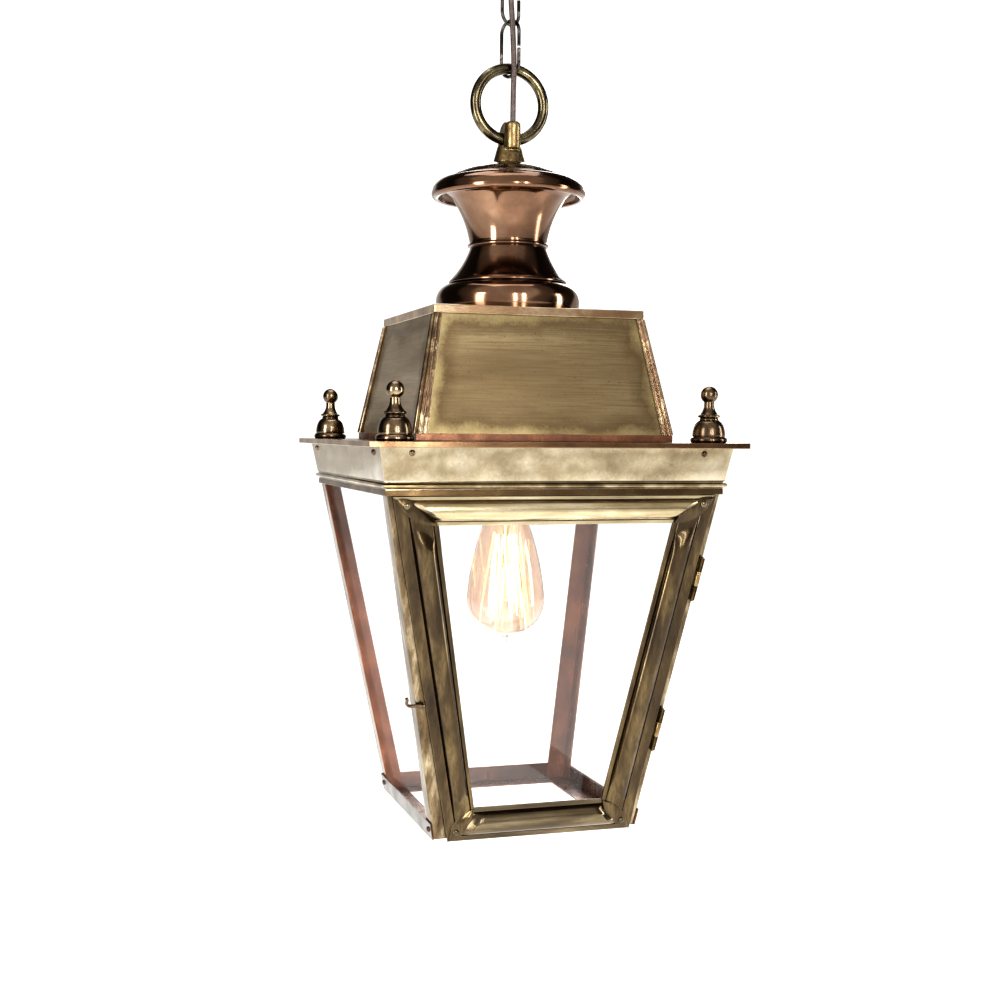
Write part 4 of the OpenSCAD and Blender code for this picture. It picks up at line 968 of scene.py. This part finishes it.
def inner_line(z, sign):
    """The opening's edge at height z."""
    return sign * (half_at(z) - (DOOR_BAR + HINGE_SIDE) * MM)


outer = [(outer_line(door_top, -1), door_top), (outer_line(door_top, 1), door_top),
         (outer_line(door_foot, 1), door_foot), (outer_line(door_foot, -1), door_foot)]
inner = [(inner_line(open_top, -1), open_top), (inner_line(open_top, 1), open_top),
         (inner_line(open_foot, 1), open_foot), (inner_line(open_foot, -1), open_foot)]


def bar_profile(width, lip_a, round_w, rise):
    """Across a bar from its outer edge: (share of the width, height over the face in mm)."""
    a, b = lip_a / width, (lip_a + round_w) / width
    swell = [(a + (b - a) * (1 - math.cos(t)) / 2, LIP_OUT + 0.1 + rise * math.sin(t) ** 0.9) for t in
             (math.pi * i / 16 for i in range(17))]
    return ([(0.0, LIP_IN), (0.0, LIP_OUT - 0.3), (0.3 / width, LIP_OUT), (a - 1.1 / width, LIP_OUT),
             (a - 0.5 / width, LIP_OUT - 0.7)] + swell
            + [(b + 0.5 / width, LIP_OUT - 0.7), (b + 1.1 / width, LIP_OUT), (1 - 0.3 / width, LIP_OUT),
               (1.0, LIP_OUT - 0.3), (1.0, LIP_IN)])


def door_bar(name, i, profile, flatten_mm, lift, material, slot, node_name):
    """One bar between two corners; its ends lie in the mitres, and may be beaten flat."""
    n = (i + 1) % 4
    o0, o1, i0, i1 = (Vector(v) for v in (outer[i], outer[n], inner[i], inner[n]))
    span = (o1 - o0).length
    near_ends = [d * MM / span for d in (2, 5, 9, 13, 17, 21, 26, 32)]
    stops = sorted({k / 8 for k in range(9)} | set(near_ends) | {1 - t for t in near_ends})
    rings = []
    for t in stops:
        near = min(t, 1 - t) * span / MM
        keep = 1.0
        if flatten_mm:
            ease = min(1.0, max(0.0, (near - flatten_mm * 0.35) / (flatten_mm * 0.65)))
            keep = 0.12 + 0.88 * ease * ease * (3 - 2 * ease)
        ring_points = []
        for s, h in profile:
            flat = (o0.lerp(o1, t)).lerp(i0.lerp(i1, t), s)
            over = max(0.0, h - LIP_OUT) * keep + min(h, LIP_OUT)
            raise_by = lift * (1 - keep) if h > LIP_IN else 0.0
            ring_points.append(on_front(flat.x, flat.y, (over + raise_by) * MM))
        rings.append(ring_points)
    bar = bmesh.new()
    loft(bar, rings)
    piece = settle(bar, name, material, 38)
    return stand_in_for(piece, "door", slot, node_name)


stile_metal = worn_metal("drawn_brass_stile", "#281e12", "#453722", "#776644", 12, (0.1, 0.22), lacquer=0.3,
                         brush="Z", brush_mm=(1.2, 80), brush_share=0.35, speck="#2d200f", speck_share=0.45,
                         relief=0.06, hollow=0.95, edge=0.5, wave_mm=35, wave=0.12)
rail_metal = worn_metal("drawn_brass_rail", "#30271b", "#594d39", "#928468", 14, (0.08, 0.2), lacquer=0.3,
                        brush="X", brush_mm=(1.2, 80), brush_share=0.25, speck="#3a2a14", speck_share=0.35,
                        relief=0.06, hollow=0.95, edge=0.5, wave_mm=35, wave=0.12)
stile = bar_profile(25.0, 8.5, 12.9, 5.2)
# The head bar is painted nearly cream, paler than the other bars: a painted highlight standing for the bright
# reflection it shows
head_brass_painted_highlight = worn_metal("brass_head_painted_highlight", "#75664a", "#b5a684", "#efe6cc", 16, (0.06, 0.16), brush="X",
                        brush_mm=(1.2, 80), brush_share=0.2, speck="#3a2a14", speck_share=0.3, relief=0.05,
                        hollow=0.9, edge=0.5, lacquer=0.3)
door_bar("door_head_bar", 0, bar_profile(HEAD_BAR, 3.2, 14.2, 5.6), 13, 0, head_brass_painted_highlight, "bright_brass",
         "door_rail_head")
door_bar("door_foot_bar", 2, bar_profile(FOOT_BAR, 5.0, 16.5, 6.2), 13, 0, rail_metal, "bright_brass",
         "door_rail_foot")
door_bar("door_latch_stile", 3, stile, 30, 1.3, stile_metal, "antique_brass", "door_stile_latch")
door_bar("door_hinge_stile", 1, stile, 30, 1.3, stile_metal, "antique_brass", "door_stile_hinge")

glass_in = (LIP_IN - 0.2) * MM
corners = []
for z, signs in ((door_glass_hi.z - GLASS_EASE, (-1, 1)), (door_glass_lo.z + GLASS_EASE, (1, -1))):
    corners += [on_front(inner_line(z, sign) + sign * GLASS_LAP, z, glass_in) for sign in signs]
pane = sheet_panel(corners, Vector((0, -1, 0)), PANE * MM, 2, 2)
break_edges(pane, GLASS_EASE)
stand_in_for(settle(pane, "door_pane", float_glass), "door", "clear_glass", "door_glass")

# The stiles' beaten ends lap over the rails' as rounded leaves
leaves = bmesh.new()
LEAF_SAG, LEAF_TOP, LEAF_ROUND = 6.0, LIP_OUT + 1.9, 0.5
for i in range(4):
    outer_end, inner_end = (Vector(outer[i]).lerp(Vector(inner[i]), t) for t in (0.05, 0.97))
    rings = []
    for height, draw_in in ((LIP_IN + 0.2, 0.0), (LEAF_TOP - LEAF_ROUND, 0.0),
                            (LEAF_TOP - 0.15, LEAF_ROUND * 0.3), (LEAF_TOP, LEAF_ROUND)):
        sag = (LEAF_SAG - draw_in) * MM
        lens = arc(outer_end, inner_end, sag, 14)[:-1] + arc(inner_end, outer_end, sag, 14)[:-1]
        rings.append([on_front(x, z, height * MM) for x, z in lens])
    loft(leaves, rings)
stand_in_for(settle(leaves, "door_corner_leaves", stile_metal, 50), "door", "antique_brass")

rivets = bmesh.new()
for i in range(4):
    flat = Vector(outer[i]).lerp(Vector(inner[i]), 0.3)
    domed_head(rivets, on_front(flat.x, flat.y, (LEAF_TOP - 0.1) * MM), face_out, *RIVET_HEAD)
stand_in_for(settle(rivets, "door_corner_rivets", golden, 60), "door", "bright_brass", "door_rivets")

# ---------------------------------------------------------------- hinges and latch
# Two narrow butt hinges of browned brass join the door to the right-hand post. The latch is a piece
# of brass wire, beaten flat, that turns on a stud in the left-hand post.

hinge_metal = worn_metal("filed_brass_hinge", "#5a4931", "#8b7753", "#cdbb92", 8, (0.16, 0.3),
                         speck="#33261a", hollow=0.15, relief=0.1)
for part in ("hinge_post_leaves", "hinge_door_leaves"):
    dress(part, hinge_metal, bevel=0.0002)

latch_lo, latch_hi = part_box("latch_lever")
LATCH_SIDE, LATCH_OUT, LATCH_R = 3.8, 2.0, 1.25
latch_z = latch_lo.z + 2.5 * MM
pivot_x = -half_at(latch_z) + LATCH_SIDE * MM
reach = pivot_x - latch_lo.x - LATCH_R * MM
# From the tongue that holds the door, past the stud, to the free end, bent up as a finger tab
wire = [(latch_hi.x - pivot_x - 0.0003, 0), (0, 0), (-reach + 0.003, 0), (-reach + 0.0012, 0.0005),
        (-reach, 0.002), (-reach + 0.0003, 0.0045), (-reach - 0.0004, 0.0062)]
lever = bmesh.new()
tube(lever, smooth_line([on_front(pivot_x + x, latch_z + z, LATCH_OUT * MM) for x, z in wire], 0.0012),
     LATCH_R * MM, 14)
domed_head(lever, on_front(pivot_x, latch_z, 0.0008), face_out, 0.0022, 0.0034)
stand_in_for(settle(lever, "latch_wire", bronze, 50), "latch", "dark_bronze", "latch_lever")

# ---------------------------------------------------------------- lampholder and bulb
# A ribbed phenolic lampholder hangs on the stem. The bulb is blown from amber glass, sealed off at
# its foot, and holds a cage of glowing carbon filament on a clear glass stem.

phenolic, tree, shader, spot = finish_of("moulded_phenolic")
mottle = node(tree, "TexNoise", {"Vector": spot, "Scale": 300.0, "Detail": 5.0}).outputs["Fac"]
brown = node(tree, "ValToRGB", {"Fac": mottle}, [(0.35, "#0c0a09"), (0.65, "#1d1714")]).outputs["Color"]
tree.links.new(brown, shader.inputs["Base Color"])
tree.links.new(node(tree, "MapRange", {"Value": mottle, "To Min": 0.2, "To Max": 0.4}).outputs["Result"],
               shader.inputs["Roughness"])
tree.links.new(node(tree, "Bump", {"Height": mottle, "Strength": 0.1, "Distance": 0.0002}).outputs["Normal"],
               shader.inputs["Normal"])
dress("lampholder", phenolic, bevel=0.0004)

cap_lo, cap_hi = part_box("bulb_cap")
lamp_z = cap_hi.z
lamp_axis = Vector((0, 0, lamp_z))
thread_r = (cap_hi.x - cap_lo.x) / 2 / MM
cap_h = (cap_hi.z - cap_lo.z) / MM
cap = bmesh.new()
threads = []
for k in range(6):
    top = -5.5 - 3.2 * k
    threads += [(thread_r - 0.9 + 0.9 * math.sin(math.pi * j / 6) ** 1.3, top - 2.8 * j / 6)
                for j in range(7)]
turned(cap, [(0, 0), (4.3, 0), (4.8, -0.5), (5, -1.5), (9, -3), (thread_r - 1, -4.5)]
       + threads + [(thread_r - 0.3, -cap_h + 1.5), (thread_r - 0.3, -cap_h), (thread_r - 1.2, -cap_h),
                    (thread_r - 1.6, -6), (0, -5)], lamp_axis, 72)
stand_in_for(settle(cap, "bulb_screw_cap", golden), "bulb", "cap_brass", "bulb_cap")

glass_lo, glass_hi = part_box("bulb_glass")
glass_r = glass_hi.x / MM
neck_r = 11.4
tip_z = (glass_lo.z - lamp_z) / MM
bulb_foot = tip_z + 7.5
wide_z = bulb_foot + glass_r - 2
amber, tree, shader, spot = finish_of("amber_blown_glass")
streak = node(tree, "Mapping", {"Vector": spot, "Scale": (60.0, 60.0, 8.0)}).outputs["Vector"]
cords = node(tree, "TexNoise", {"Vector": streak, "Scale": 1.0, "Detail": 3.0}).outputs["Fac"]
tint = node(tree, "ValToRGB", {"Fac": cords}, [(0.3, "#e8cfbe"), (0.7, "#f1e0d2")]).outputs["Color"]
tree.links.new(tint, shader.inputs["Base Color"])
tree.links.new(node(tree, "Bump", {"Height": cords, "Strength": 0.12, "Distance": 0.001}).outputs["Normal"],
               shader.inputs["Normal"])
shader.inputs["Roughness"].default_value = 0.02
shader.inputs["IOR"].default_value = 1.45
shader.inputs["Transmission Weight"].default_value = 1.0
shader.inputs["Alpha"].default_value = 0.9
outside = ([(neck_r, -15), (neck_r, -29)] + arc((neck_r + 0.3, -32), (glass_r - 1.2, wide_z + 13), 2.4, 24)
           + ellipse((0, wide_z), glass_r, glass_r - 2, 8, -84, 28)
           + [(2.6, bulb_foot - 1.2), (1.7, bulb_foot - 3.6), (1.5, bulb_foot - 5.6),
              (0.8, bulb_foot - 7.1), (0, bulb_foot - 7.5)])
wall = 0.9
lining = ([(0, bulb_foot + wall)] + ellipse((0, wide_z), glass_r - wall, glass_r - 2 - wall, -86, 8, 28)
          + arc((glass_r - 1.2 - wall, wide_z + 13), (neck_r + 0.3 - wall, -32), -2.4, 24)
          + [(neck_r - wall, -29), (neck_r - wall, -15)])
envelope = bmesh.new()
turned(envelope, outside + lining, lamp_axis, 96)
stand_in_for(settle(envelope, "bulb_envelope", amber, 60), "bulb", "amber_glass", "bulb_glass")

stem_glass, tree, shader, spot = finish_of("clear_lamp_glass")
seeds = node(tree, "TexNoise", {"Vector": spot, "Scale": 500.0, "Detail": 2.0}).outputs["Fac"]
tree.links.new(node(tree, "MapRange", {"Value": seeds, "To Min": 0.0, "To Max": 0.12}).outputs["Result"],
               shader.inputs["Roughness"])
shader.inputs["Base Color"].default_value = linear("#fbf3e6")
shader.inputs["Transmission Weight"].default_value = 1.0
shader.inputs["IOR"].default_value = 1.45
stem = bmesh.new()
turned(stem, [(0, -20), (8, -20), (8, -23)] + arc((7.6, -25), (4, -38), -1.2, 8)
       + [(3, -56), (1.3, -63), (1.2, -112)] + ellipse((0, -112), 2.2, 2.2, 0, -90, 8), lamp_axis, 48)
stand_in_for(settle(stem, "bulb_glass_stem", stem_glass), "bulb", "clear_glass", "bulb_mount")

# Carbon filament at white heat, a little cooler in patches along it
carbon, tree, shader, spot = finish_of("glowing_carbon_filament")
heat = node(tree, "TexNoise", {"Vector": spot, "Scale": 90.0, "Detail": 2.0}).outputs["Fac"]
shade = node(tree, "ValToRGB", {"Fac": heat}, [(0.3, "#ffb765"), (0.7, "#ffe2b5")]).outputs["Color"]
tree.links.new(shade, shader.inputs["Base Color"])
tree.links.new(shade, shader.inputs["Emission Color"])
shader.inputs["Emission Strength"].default_value = 14.0
STRANDS, CARBON_R, HOOK_R = 12, 0.00042, 0.00055
head_r, head_z, foot_r, low_z = 8.0, -60.0, 14.5, -126.0
corners = []
for k in range(STRANDS):
    a = math.tau * k / STRANDS
    r, z = (head_r, head_z) if k % 2 == 0 else (foot_r, low_z)
    corners.append(lamp_axis + Vector((r * math.cos(a), r * math.sin(a), z)) * MM)
cage = bmesh.new()
for a, b in zip(corners, corners[1:] + corners[:1]):
    sag = [a.lerp(b, t / 8) for t in range(9)]
    tube(cage, sag, CARBON_R, 10)
for corner in corners:
    bmesh.ops.create_uvsphere(cage, u_segments=10, v_segments=6, radius=HOOK_R,
                              matrix=Matrix.Translation(corner))
stand_in_for(settle(cage, "bulb_filament_cage", carbon, 60), "bulb", "filament", "bulb_filament")
